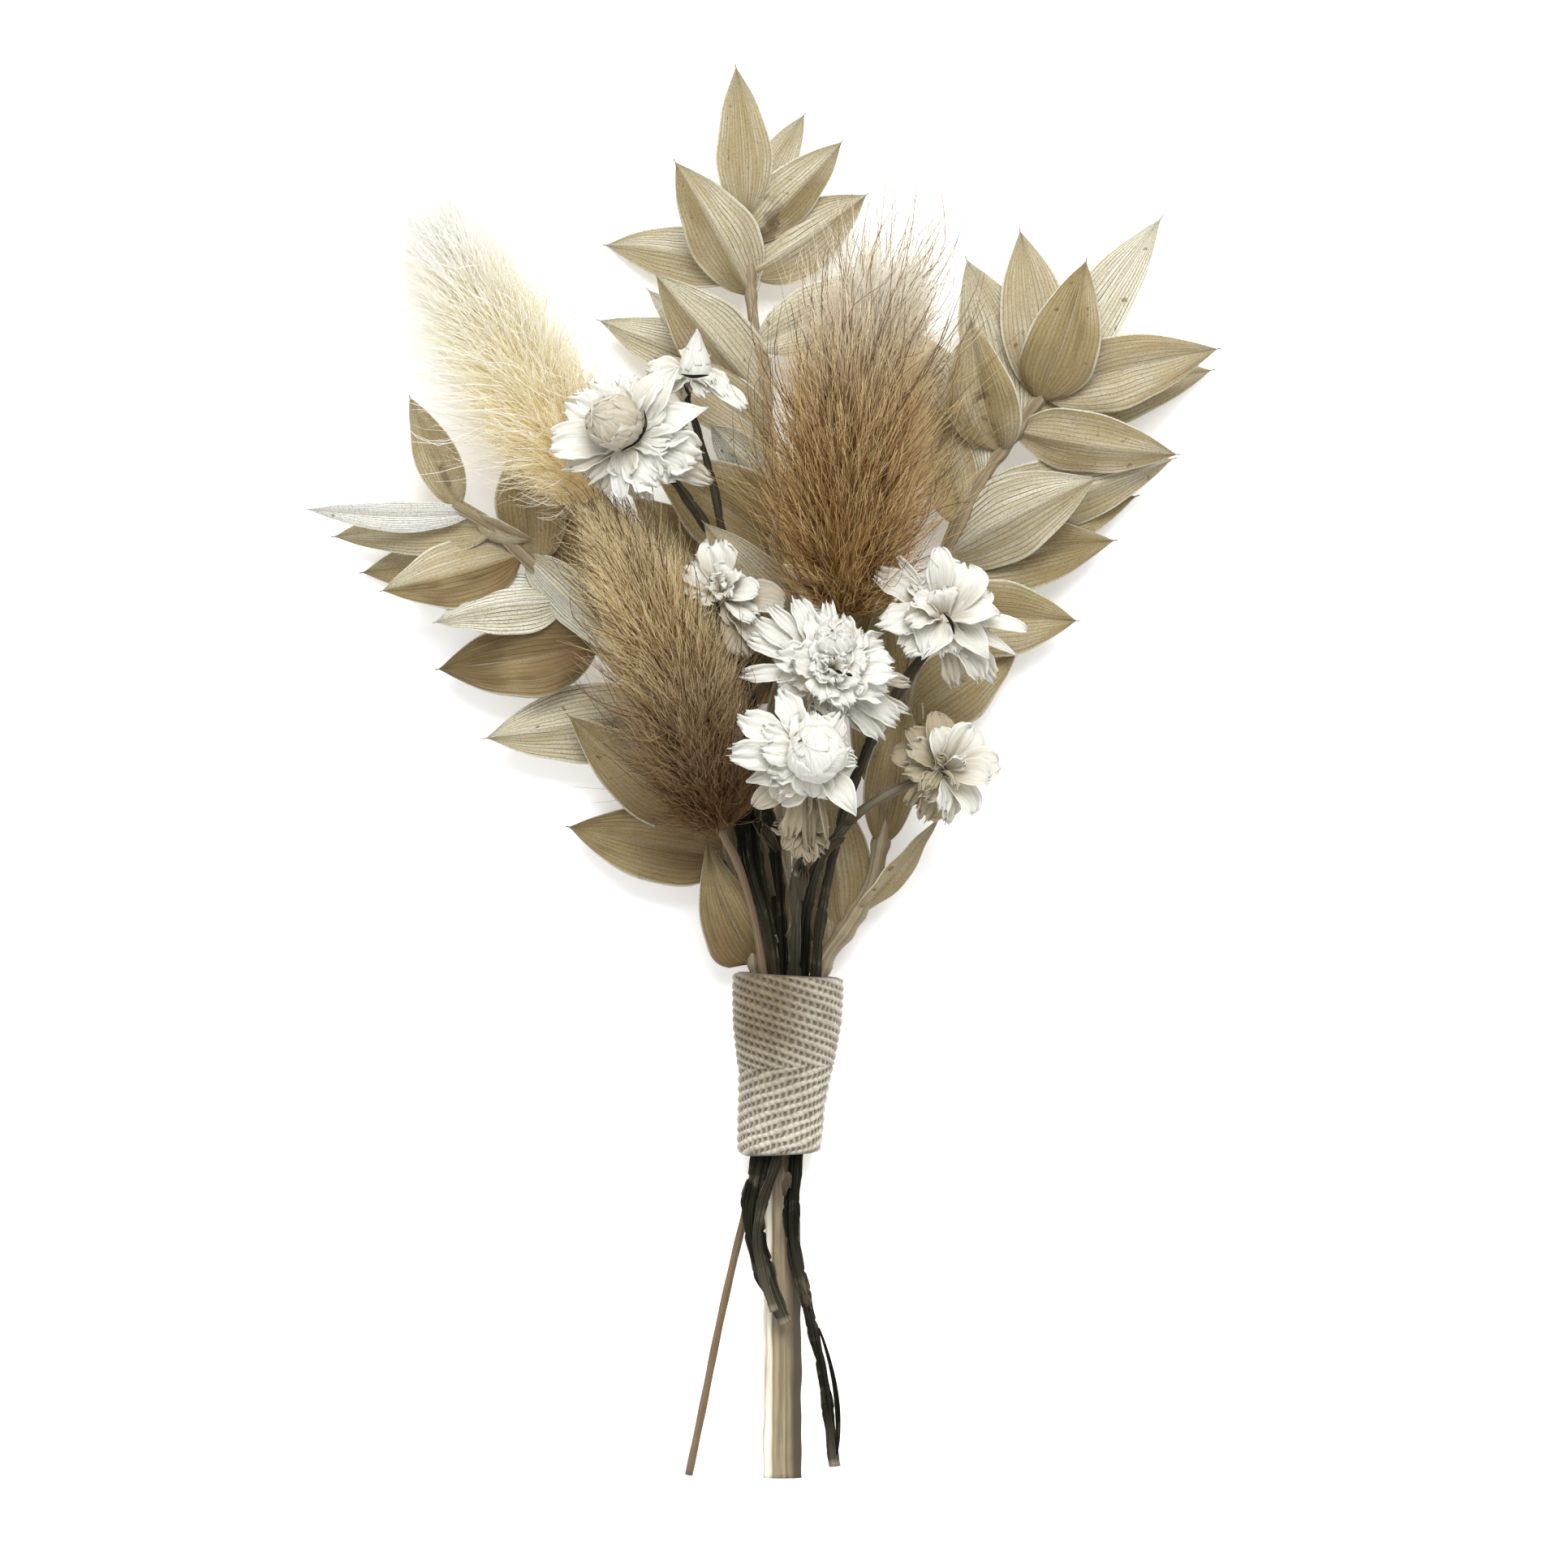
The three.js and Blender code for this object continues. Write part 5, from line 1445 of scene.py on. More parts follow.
@dataclass(frozen=True)
class Bud:
    """A closed bud of overlapping scales.

    Attributes:
        x: Its middle's x in mm.
        y: Its middle's y.
        rise: Its middle's height over the bloom's seat.
        size: Its radius.
        facing: The way its tip points.
        stretch: How much longer than wide it is.
        taper: How far it narrows towards its tip.
        tone: 0 for white and 1 for tan.
        wrinkled: How deep its scales' wrinkles are.
    """

    x: float
    y: float
    rise: float
    size: float
    facing: Point
    stretch: float = 1.0
    taper: float = 0.0
    tone: float = 0.1
    wrinkled: float = 1.0

    SCALES = 8
    THICKNESS = 0.1

    def points(self, height: float, theta: Array, phi: Array, radius: Array) -> Array:
        """Places polar points on the bud.

        A point lies at its radius times the unit direction of its angles. It is stretched along the bud's
        line and drawn in by the taper times the share of the way to the tip.

        Args:
            height: The seat's z.
            theta: Angle from the tip.
            phi: Angle about the bud's line.
            radius: Distance from its middle.

        Returns:
            The points in mm.
        """
        side, up, ahead = facing_axes(self.facing)
        narrow = radius * np.sin(theta) * (1 - self.taper * (0.5 + 0.5 * np.cos(theta)))
        x, y = narrow * np.cos(phi), narrow * np.sin(phi)
        z = radius * self.stretch * np.cos(theta) + 0 * phi
        centre = np.array([self.x, self.y, height + self.rise])
        return centre + x[..., None] * side + y[..., None] * up + z[..., None] * ahead

    def scale(self, index: int, height: float, dice: np.random.Generator) -> Patch:
        """Makes one scale: a broad spoon that hugs the bud, wrinkled along it and lifted at its end.

        Scales follow the golden angle from the bud's foot to its tip.

        Args:
            index: Its number.
            height: The seat's z.
            dice: Draws its small differences.

        Returns:
            The scale's closed blade.
        """
        rows, columns = 15, 19
        u = np.linspace(0, 1, rows)[:, None]
        v = np.linspace(-1, 1, columns)[None, :]
        polar = math.acos(1 - 1.8 * (1 - (index + 0.5) / self.SCALES))
        theta = polar + 0.4 - (1.3 + 0.1 * dice.uniform(-1, 1)) * u
        half = 1.3 * np.sin(math.pi * (0.24 + 0.6 * u)) ** 0.7
        phases = dice.uniform(0, 2 * math.pi, (2, 3))
        wrinkle = 0.045 * ripple(6 * v + 1.2 * u, phases[0]) + 0.015 * ripple(9 * u, phases[1])
        edge = smoothstep(0.65, 1.0, np.maximum(u, np.abs(v)))
        radius = self.size * (0.92 + 0.008 * index + 0.045 * edge + self.wrinkled * wrinkle)
        phi = GOLDEN_ANGLE * index + v * half
        tone = self.tone + dice.uniform(-0.1, 0.1)
        marks = on_grid((rows, columns), along=0.6 + 0.4 * u, across=v, tone=tone, seed=dice.uniform(0, 1))
        return shell(self.points(height, theta, phi, radius)[:, ::-1], self.THICKNESS, marks)

    def skins(self, height: float, dice: np.random.Generator) -> list[Patch]:
        """Makes the bud's core and all its scales, over the seat's z."""
        theta = np.linspace(math.pi - POLE_GAP, POLE_GAP, 14)[:, None]
        phi = -once_round(24)
        radius = 0.88 * self.size * (1 + 0.02 * np.sin(3 * phi + 2 * theta))
        core = self.points(height, theta, phi, radius)[:, ::-1]
        made = [tube(core, on_grid(radius.shape, along=0.5, tone=self.tone + 0.2))]
        return made + [self.scale(index, height, dice) for index in range(self.SCALES)]


@dataclass
class Everlasting:
    """One winged-everlasting bloom: papery petals in tiers on a small base, with dark bits of its calyx and
    dark rods painted as shadow in some of its gaps.

    Attributes:
        name: Ends the name of its node.
        seed: Starts its random draws.
        seat: Where its stem ends, in mm.
        facing: The way it opens.
        reach: How far its outer petals spread.
        bud: The radius of its base.
        petals: The petals that show from the front.
        balls: Its closed buds.
        calyx_and_shadow_lines: Dark calyx bits, and dark rods painted as shadow in gaps, as short paths of x,
            y
        and rise.
        tone: How much warmer than white its hidden petals are.
        hidden: How many plain petals fill its back.
        ruffles: How many crumpled petals crowd its middle.
    """

    name: str
    seed: int
    seat: Point
    facing: Point
    reach: float
    bud: float
    petals: list[Petal]
    balls: tuple[Bud, ...] = ()
    calyx_and_shadow_lines: tuple[tuple[Point, ...], ...] = ()
    tone: float = 0.15
    hidden: int = 9
    ruffles: int = 0

    DARK_LINE_RADIUS = 0.16

    def __post_init__(self) -> None:
        """Works out its own directions: z is the way it faces, and x and y are square to that."""
        self.x, self.y, self.z = facing_axes(self.facing)

    def petal_root(self, petal: Petal) -> Array:
        """Where a petal leaves the base: near its axis, and the higher the shorter the petal reaches."""
        seat = np.array(self.seat)
        towards = np.array([petal.x, petal.y, self.seat[2] + petal.rise]) - seat
        flat = towards - (towards @ self.z) * self.z
        share = min(float(np.linalg.norm(flat)) / self.reach, 1.0)
        return seat + self.z * self.bud * (1.3 - 0.75 * share) + 0.22 * self.bud * share * unit(flat)

    def filler(self, turn: float, far: float, lift: float, width: float, curl: float, tone: float) -> Petal:
        """Makes a petal from the bloom's own directions.

        Args:
            turn: Its tip's angle about the way the bloom faces.
            far: Its tip's distance from that line, in mm.
            lift: Its tip's distance from the seat along that line.
            width: Its widest.
            curl: How far its middle arches.
            tone: 0 for white and 1 for tan.

        Returns:
            The petal.
        """
        flat = far * (math.cos(turn) * self.x + math.sin(turn) * self.y)
        tip = np.array(self.seat) + flat + lift * self.z
        return Petal(tip[0], tip[1], tip[2] - self.seat[2], width, 0.0, curl, tone)

    def hidden_petals(self, dice: np.random.Generator) -> list[Petal]:
        """Fills the back with plain petals at golden angles, each a little lifted."""
        made = []
        for index in range(self.hidden):
            far = self.reach * dice.uniform(0.5, 0.72)
            lift = self.bud * (0.3 + 0.7 * index / self.hidden)
            tone = self.tone + 0.2 * dice.uniform(0, 1)
            made.append(self.filler(GOLDEN_ANGLE * index, far, lift, 0.42 * self.reach, 0.3, tone))
        return made

    def inner_petals(self, dice: np.random.Generator) -> list[Petal]:
        """Crowds the middle with crumpled petals, the outer ones lying over the roots of the tier below."""
        made = []
        for index in range(self.ruffles):
            share = (index + 0.5) / self.ruffles
            far = self.reach * (0.06 + 0.52 * share) * dice.uniform(0.9, 1.1)
            lift = self.bud * (1.95 - 0.65 * share) * dice.uniform(0.94, 1.06)
            width = self.reach * (0.26 + 0.2 * share)
            turn = GOLDEN_ANGLE * index + self.seed
            made.append(self.filler(turn, far, lift, width, 0.55, 0.3 * self.tone))
        return made

    def base_skin(self) -> Patch:
        """Makes the base: a small ball that the petals sit on."""
        theta = np.linspace(POLE_GAP, math.pi - POLE_GAP, 12)[:, None]
        phi = -once_round(20)
        size = 0.55 * self.bud
        out = size * np.sin(theta) * (1 + 0.03 * np.sin(3 * phi))
        centre = np.array(self.seat) + self.z * size
        grid = centre + (out * np.cos(phi))[..., None] * self.x + (out * np.sin(phi))[..., None] * self.y
        grid = grid - (size * np.cos(theta) + 0 * phi)[..., None] * self.z
        return tube(grid[:, ::-1], on_grid(out.shape, along=0.4, tone=0.3))

    def calyx_and_shadow_skin(self, path: tuple[Point, ...]) -> Patch:
        """Makes one dark rod along its path that swells in its middle; some are calyx bits, some painted
        shadow in a gap.
        """
        course = Path([(x, y, self.seat[2] + rise) for x, y, rise in path])
        share = np.linspace(0, 1, 14)
        angle = once_round(8)
        radius = self.DARK_LINE_RADIUS * (0.35 + np.sin(math.pi * share[:, None]))
        return tube(course.rings(share, radius * np.cos(angle), radius * np.sin(angle)), {}, finish=1)

    def build(self, petal: bpy.types.Material, dark: bpy.types.Material) -> bpy.types.Object:
        """Makes the bloom's piece.

        Args:
            petal: The petals' material.
            dark: The material of the calyx bits and of the rods painted as shadow.

        Returns:
            The finished piece, riding on the root body.
        """
        dice = np.random.default_rng(self.seed)
        skins = [self.base_skin()]
        for blade in [*self.petals, *self.hidden_petals(dice), *self.inner_petals(dice)]:
            skins.append(blade.skin(self.petal_root(blade), self.z, self.seat[2], dice))
        for ball in self.balls:
            skins += ball.skins(self.seat[2], dice)
        skins += [self.calyx_and_shadow_skin(path) for path in self.calyx_and_shadow_lines]
        piece = make_piece(f"bloom_{self.name}", skins, [petal, dark])
        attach(piece, "root")
        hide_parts(f"everlasting_{self.name}")
        return piece


ROUND, POINT = PetalEnd.ROUND, PetalEnd.POINT

BLOOMS = (
    Everlasting(
        name="left_front",
        seed=71,
        seat=(-18.0, 76.0, 22.2),
        facing=(-0.45, 0.22, 0.87),
        reach=8.8,
        bud=3.9,
        petals=[
            Petal(-28.8, 76.2, 3.0, 4.2, 8),
            Petal(-26.8, 81.2, 1.3, 3.8, 0, 1.0),
            Petal(-24.6, 83.0, 1.6, 4.0),
            Petal(-21.4, 83.6, 1.9, 4.8, 0, 1.2),
            Petal(-18.4, 83.9, 1.8, 3.4, 0, 1.0),
            Petal(-13.2, 85.4, 3.1, 4.4, -12, 1.6, 0.0, POINT),
            Petal(-15.6, 84.4, 2.5, 3.6, 10, 1.2),
            Petal(-9.6, 80.4, 2.3, 4.6, 14, 1.4, 0.0, POINT),
            Petal(-12.2, 78.2, 2.6, 4.6, 0, 1.2),
            Petal(-11.0, 74.2, 2.2, 5.0, -10, 1.4, 0.04),
            Petal(-12.6, 72.2, 2.6, 3.6, 0, 0.9, 0.12),
            Petal(-9.4, 71.6, -0.6, 2.6, 0, 0.6, 0.5),
            Petal(-15.4, 71.1, 3.4, 4.8, 0, 1.0),
            Petal(-17.2, 69.4, 0.4, 3.4, 0, 0.6, 0.4),
            Petal(-20.2, 69.3, 2.8, 2.4, 0, 0.8, 0.0, ROUND),
            Petal(-22.6, 70.6, 0.6, 2.8, 0, 0.6, 0.4),
            Petal(-24.4, 71.8, 1.0, 2.8, 0, 0.6, 0.35),
            Petal(-27.0, 73.4, 1.2, 3.2, 0, 0.6, 0.3),
        ],
        balls=(Bud(-20.9, 78.5, 5.2, 3.4, (-0.75, 0.3, 0.6), 1.08, 0.0, 0.62, 1.3),),
        # The dark rod here is painted shadow: the dark gap where the bud stands off the petals behind it.
        calyx_and_shadow_lines=(((-17.4, 80.0, 5.2), (-17.2, 78.3, 5.4), (-18.3, 76.3, 5.4), (-20.2, 75.1, 5.2)),),
    ),
    Everlasting(
        name="left_back",
        seed=72,
        seat=(-12.0, 83.6, 18.6),
        facing=(0.1, 0.8, 0.6),
        reach=7.6,
        bud=2.4,
        petals=[
            Petal(-5.4, 80.4, 3.4, 2.8, 0, 1.0),
            Petal(-7.4, 82.0, 3.2, 2.8),
            Petal(-9.2, 83.4, 3.6, 2.0, 0, 0.5, 0.05),
            # Its tone of 0.1 paints the shade on this lower petal.
            Petal(-14.8, 82.6, 2.8, 3.2, 0, 0.8, 0.1),
            Petal(-12.8, 81.4, 2.0, 2.2, 0, 0.6, 0.5, POINT),
        ],
        balls=(Bud(-11.2, 86.7, 2.6, 3.0, (0.06, 0.96, 0.25), 1.15, 0.85, 0.0),),
        # The first rod is a calyx bit at its left end and a painted shadow line below the bud's base further
        # right; the second is a calyx bit.
        calyx_and_shadow_lines=(
            ((-12.9, 84.6, 4.4), (-11.6, 84.3, 5.0), (-9.6, 84.5, 4.6)),
            ((-12.6, 83.4, 4.0), (-11.8, 81.8, 4.0)),
        ),
        hidden=4,
    ),
    Everlasting(
        name="middle_back",
        seed=73,
        seat=(-7.6, 56.4, 17.2),
        facing=(-0.15, 0.55, 0.82),
        reach=7.0,
        bud=2.8,
        petals=[
            Petal(-8.6, 64.2, 3.4, 4.2, 0, 1.2),
            Petal(-12.0, 61.4, 2.6, 3.8, 10, 1.0),
            Petal(-12.6, 59.0, 2.0, 3.2, 0, 0.9),
            Petal(-6.8, 61.0, 3.6, 3.4, 0, 1.0),
            Petal(-3.6, 57.9, 5.4, 3.2, 0, 1.0, 0.0, ROUND),
            Petal(-4.4, 59.2, 2.8, 1.8, 0, 0.8, 0.05, POINT),
            Petal(-0.3, 56.6, 3.2, 4.2, 0, 0.8, 0.5, ROUND),
            Petal(-4.0, 54.6, 5.2, 3.0, 20),
            Petal(-3.2, 52.2, 4.2, 3.0, 0, 0.8, 0.5),
            Petal(-5.0, 50.4, 3.4, 3.4, 0, 0.6, 0.65),
            Petal(-1.4, 50.6, 2.4, 3.4, 0, 0.6, 0.7, ROUND),
        ],
        calyx_and_shadow_lines=(((-9.3, 56.8, 6.4), (-8.5, 56.5, 6.8), (-8.3, 55.4, 6.4)),),
        tone=0.3,
        hidden=6,
        ruffles=6,
    ),
    Everlasting(
        name="middle",
        seed=74,
        seat=(4.8, 47.6, 23.6),
        facing=(0.12, 0.22, 0.97),
        reach=9.2,
        bud=3.8,
        petals=[
            Petal(-2.0, 56.2, 1.8, 1.6, 0, 0.8, 0.05),
            Petal(1.0, 57.0, 2.2, 2.6, 0, 1.0),
            Petal(4.9, 56.7, 2.2, 1.8, 10, 0.9),
            Petal(6.4, 55.0, 3.0, 3.8, 0, 1.2),
            Petal(3.0, 55.0, 2.8, 3.0, 0, 1.0),
            Petal(8.7, 53.4, 2.9, 3.6, 0, 1.2),
            Petal(11.6, 51.8, 1.7, 3.6, -14, 1.0, 0.06),
            Petal(12.9, 48.6, 4.0, 3.8, 0, 1.2),
            Petal(11.8, 45.6, 3.4, 3.6, 0, 1.0),
            Petal(7.6, 44.6, 4.2, 4.2, 0, 1.4),
            Petal(-1.0, 50.2, 2.8, 3.4, 14, 1.4),
            Petal(-3.6, 54.4, 1.4, 2.4, 0, 1.0, 0.05),
            Petal(-4.6, 52.3, 1.2, 2.2, 0, 0.9),
            Petal(-5.4, 47.9, 0.8, 1.9, 0, 0.7, 0.1),
            Petal(-1.0, 46.4, 2.4, 4.0, 0, 1.0, 0.25, ROUND),
            Petal(2.9, 45.0, 4.0, 1.4, 48, 0.8, 0.5),
            Petal(4.9, 43.8, 3.6, 1.5, -44, 0.8, 0.45),
            Petal(2.6, 43.2, 2.4, 1.2, 52, 0.6, 0.6),
            Petal(6.3, 43.0, 3.0, 1.3, 46, 0.7, 0.55),
            Petal(14.6, 43.4, -0.6, 1.2, 0, 0.6, 0.35),
            Petal(13.2, 42.2, 0.4, 2.8, 0, 0.8, 0.15),
            Petal(11.4, 40.4, 0.6, 2.8, 0, 0.8, 0.2),
            Petal(14.8, 47.0, 0.2, 1.6, 0, 0.6, 0.6),
            Petal(9.4, 41.4, 0.0, 2.4, 0, 0.6, 0.5),
        ],
        balls=(Bud(5.8, 52.0, 4.6, 2.5, (0.0, 0.35, 0.9), 1.0, 0.0, 0.05, 2.4),),
        calyx_and_shadow_lines=(((5.8, 48.4, 8.0), (6.7, 48.0, 8.2)), ((7.1, 48.0, 8.1), (7.9, 47.7, 7.9))),
        ruffles=13,
    ),
    Everlasting(
        name="middle_front",
        seed=75,
        seat=(2.4, 37.4, 28.2),
        facing=(0.18, 0.1, 0.98),
        reach=7.8,
        bud=3.4,
        petals=[
            Petal(-0.8, 45.7, 2.0, 3.0, 0, 1.2),
            Petal(-5.6, 42.7, 1.9, 3.4, 0, 1.2),
            Petal(-6.8, 38.3, 3.0, 3.2, 14, 1.2, 0.05),
            Petal(-4.9, 34.9, 1.4, 3.6, -14, 0.8, 0.35, POINT),
            Petal(-1.2, 32.5, 1.2, 4.2, 0, 0.8, 0.4, ROUND),
            Petal(-4.0, 31.9, -0.8, 2.8, 0, 0.5, 0.65, ROUND),
            Petal(2.9, 33.1, 3.2, 4.6, 0, 0.9, 0.0, ROUND),
            Petal(0.4, 28.2, -2.2, 2.6, 0, 0.4, 0.9),
            Petal(2.6, 26.6, -3.0, 1.5, 8, 0.4, 1.35),
            Petal(4.7, 28.0, -2.0, 0.9, 40, 0.6, 1.1, ROUND),
            Petal(8.3, 30.9, 2.6, 3.4, 8, 1.4, 0.0, POINT),
            Petal(8.3, 37.3, 2.2, 1.4),
            Petal(6.9, 33.4, 1.0, 2.6, 0, 0.6, 0.3, ROUND),
            Petal(7.6, 39.1, 3.4, 4.6, 0, 1.0, 0.02, POINT),
            Petal(6.4, 42.8, 1.8, 2.8, 0, 0.7, 0.06),
            Petal(2.6, 43.0, 2.6, 4.8, 0, 1.0),
            Petal(-3.0, 38.9, 4.6, 3.2, 0, 1.2),
            Petal(-1.8, 35.8, 3.6, 3.0, 0, 1.0, 0.05),
            Petal(4.9, 34.3, 2.6, 2.6, 0, 1.0, 0.25),
            Petal(-2.8, 41.4, 2.9, 2.8, 0, 1.0),
        ],
        balls=(Bud(3.6, 38.2, 5.4, 3.7, (-0.45, 0.35, 0.82), 0.95, 0.0, 0.16),),
    ),
    Everlasting(
        name="middle_low",
        seed=76,
        seat=(2.0, 28.6, 22.8),
        facing=(0.1, 0.35, 0.93),
        reach=5.4,
        bud=2.0,
        petals=[
            Petal(-0.4, 26.8, 2.0, 2.0, 0, 0.8, 1.0, ROUND),
            Petal(1.0, 25.6, 1.8, 1.9, 24, 0.8, 1.15, ROUND),
            Petal(3.0, 25.2, 1.8, 1.8, -26, 0.8, 1.1, ROUND),
            Petal(4.8, 26.8, 1.4, 1.7, 34, 0.6, 1.05, POINT),
            Petal(2.2, 24.8, 0.8, 1.3, 20, 0.5, 1.4, POINT),
            Petal(0.6, 24.4, -0.8, 1.1, 34, 0.4, 1.5, POINT),
            Petal(-1.0, 28.8, 1.4, 2.2, 0, 0.8, 0.8, ROUND),
            Petal(5.0, 29.4, 1.4, 2.0, 0, 0.6, 0.9, POINT),
        ],
        tone=1.1,
        hidden=3,
    ),
    Everlasting(
        name="right_upper",
        seed=77,
        seat=(18.6, 53.6, 21.8),
        facing=(0.12, 0.5, 0.86),
        reach=9.4,
        bud=3.0,
        petals=[
            Petal(18.5, 63.4, 4.6, 2.6, 10, 1.4, 0.04, ROUND),
            Petal(21.6, 61.4, 3.0, 6.8, 0, 1.6, 0.0, ROUND),
            Petal(24.3, 58.4, 2.6, 5.0, 0, 1.4, 0.0, ROUND),
            Petal(25.8, 55.2, 5.4, 4.4, 10, 1.6, 0.0, POINT),
            Petal(29.2, 53.4, 2.6, 1.8, 0, 1.2, 0.0, ROUND),
            Petal(27.9, 50.3, 1.6, 1.9, 0, 1.0, 0.05, POINT),
            Petal(24.6, 49.7, 3.8, 3.6, 0, 1.2, 0.0, POINT),
            Petal(23.6, 47.3, 2.0, 2.6, 0, 0.9, 0.2),
            Petal(25.2, 47.6, 0.4, 2.6, 0, 0.6, 0.35),
            Petal(20.3, 46.7, 0.4, 2.4, 0, 0.6, 0.55),
            Petal(16.5, 49.8, 4.6, 4.8, -8, 1.4, 0.02, POINT),
            Petal(14.8, 50.3, 1.2, 2.0, 0, 0.6, 0.45),
            Petal(11.3, 54.1, 3.8, 3.6, 14, 1.2),
            # Its tone of 0.1 paints the shade on this folded petal.
            Petal(10.9, 60.3, 2.0, 2.8, 20, 1.0, 0.1),
            Petal(13.6, 62.2, 2.4, 1.1, 60),
            Petal(15.4, 59.0, 2.4, 3.0, 0, 1.0, 0.1),
            Petal(15.6, 57.4, 4.0, 4.8, -10, 1.4),
            Petal(18.6, 58.2, 4.2, 3.4, 0, 1.0, 0.04),
            Petal(14.6, 54.4, 5.6, 3.0, 0, 1.0, 0.04),
        ],
        calyx_and_shadow_lines=(((19.0, 55.4, 6.6), (19.9, 54.3, 6.8), (20.3, 52.8, 6.2)),),
    ),
    Everlasting(
        name="right_lower",
        seed=78,
        seat=(17.6, 35.8, 18.6),
        facing=(0.55, 0.25, 0.8),
        reach=7.4,
        bud=2.4,
        petals=[
            Petal(22.8, 41.6, 2.2, 4.4, 0, 1.2, 0.12, ROUND),
            Petal(25.9, 37.0, 2.6, 4.0, 0, 1.2, 0.2, ROUND),
            # Its tone of 0.24 paints the shade on this petal and also sets its outline off from the floor.
            Petal(24.6, 35.0, 4.0, 3.8, 0, 1.4, 0.24, ROUND),
            Petal(22.8, 31.0, 2.4, 3.2, 0, 1.2, 0.0, ROUND),
            Petal(19.6, 30.1, 2.0, 2.6, 0, 1.0, 0.4),
            Petal(19.0, 31.4, 3.4, 2.0, 0, 1.0, 0.2),
            Petal(16.6, 30.4, 0.4, 3.4, 0, 0.8, 1.0),
            Petal(15.0, 32.0, 0.0, 2.8, 0, 0.6, 1.1),
            Petal(18.2, 41.4, 2.6, 3.8, 0, 1.2, 0.22, ROUND),
            Petal(14.8, 41.2, 0.7, 3.6, 0, 0.8, 0.95, ROUND),
            Petal(18.0, 43.4, 0.8, 4.0, 0, 0.8, 0.9, ROUND),
            Petal(12.8, 38.4, 0.4, 3.6, 0, 0.6, 1.1, ROUND),
            Petal(18.4, 38.0, 3.5, 1.2, 20, 0.6, 0.9),
            Petal(20.4, 34.4, 5.4, 1.2, 20, 0.6, 0.8),
            Petal(17.2, 34.0, 5.0, 1.2, 0, 0.6, 1.0),
            Petal(21.4, 37.6, 5.4, 2.0, 0, 0.6, 0.3),
        ],
        tone=0.7,
        hidden=6,
    ),
)


@dataclass(frozen=True)
class Bract:
    """A dry scale or a loose strand on a stem.

    Attributes:
        root: Where it starts, in mm.
        blade: Its shape, with heights over the floor.
        dark: Whether it is as dark as the stem.
        facing: The way it bulges.
    """

    root: Point
    blade: Petal
    dark: bool = False
    facing: Point = (0.0, 0.0, 1.0)


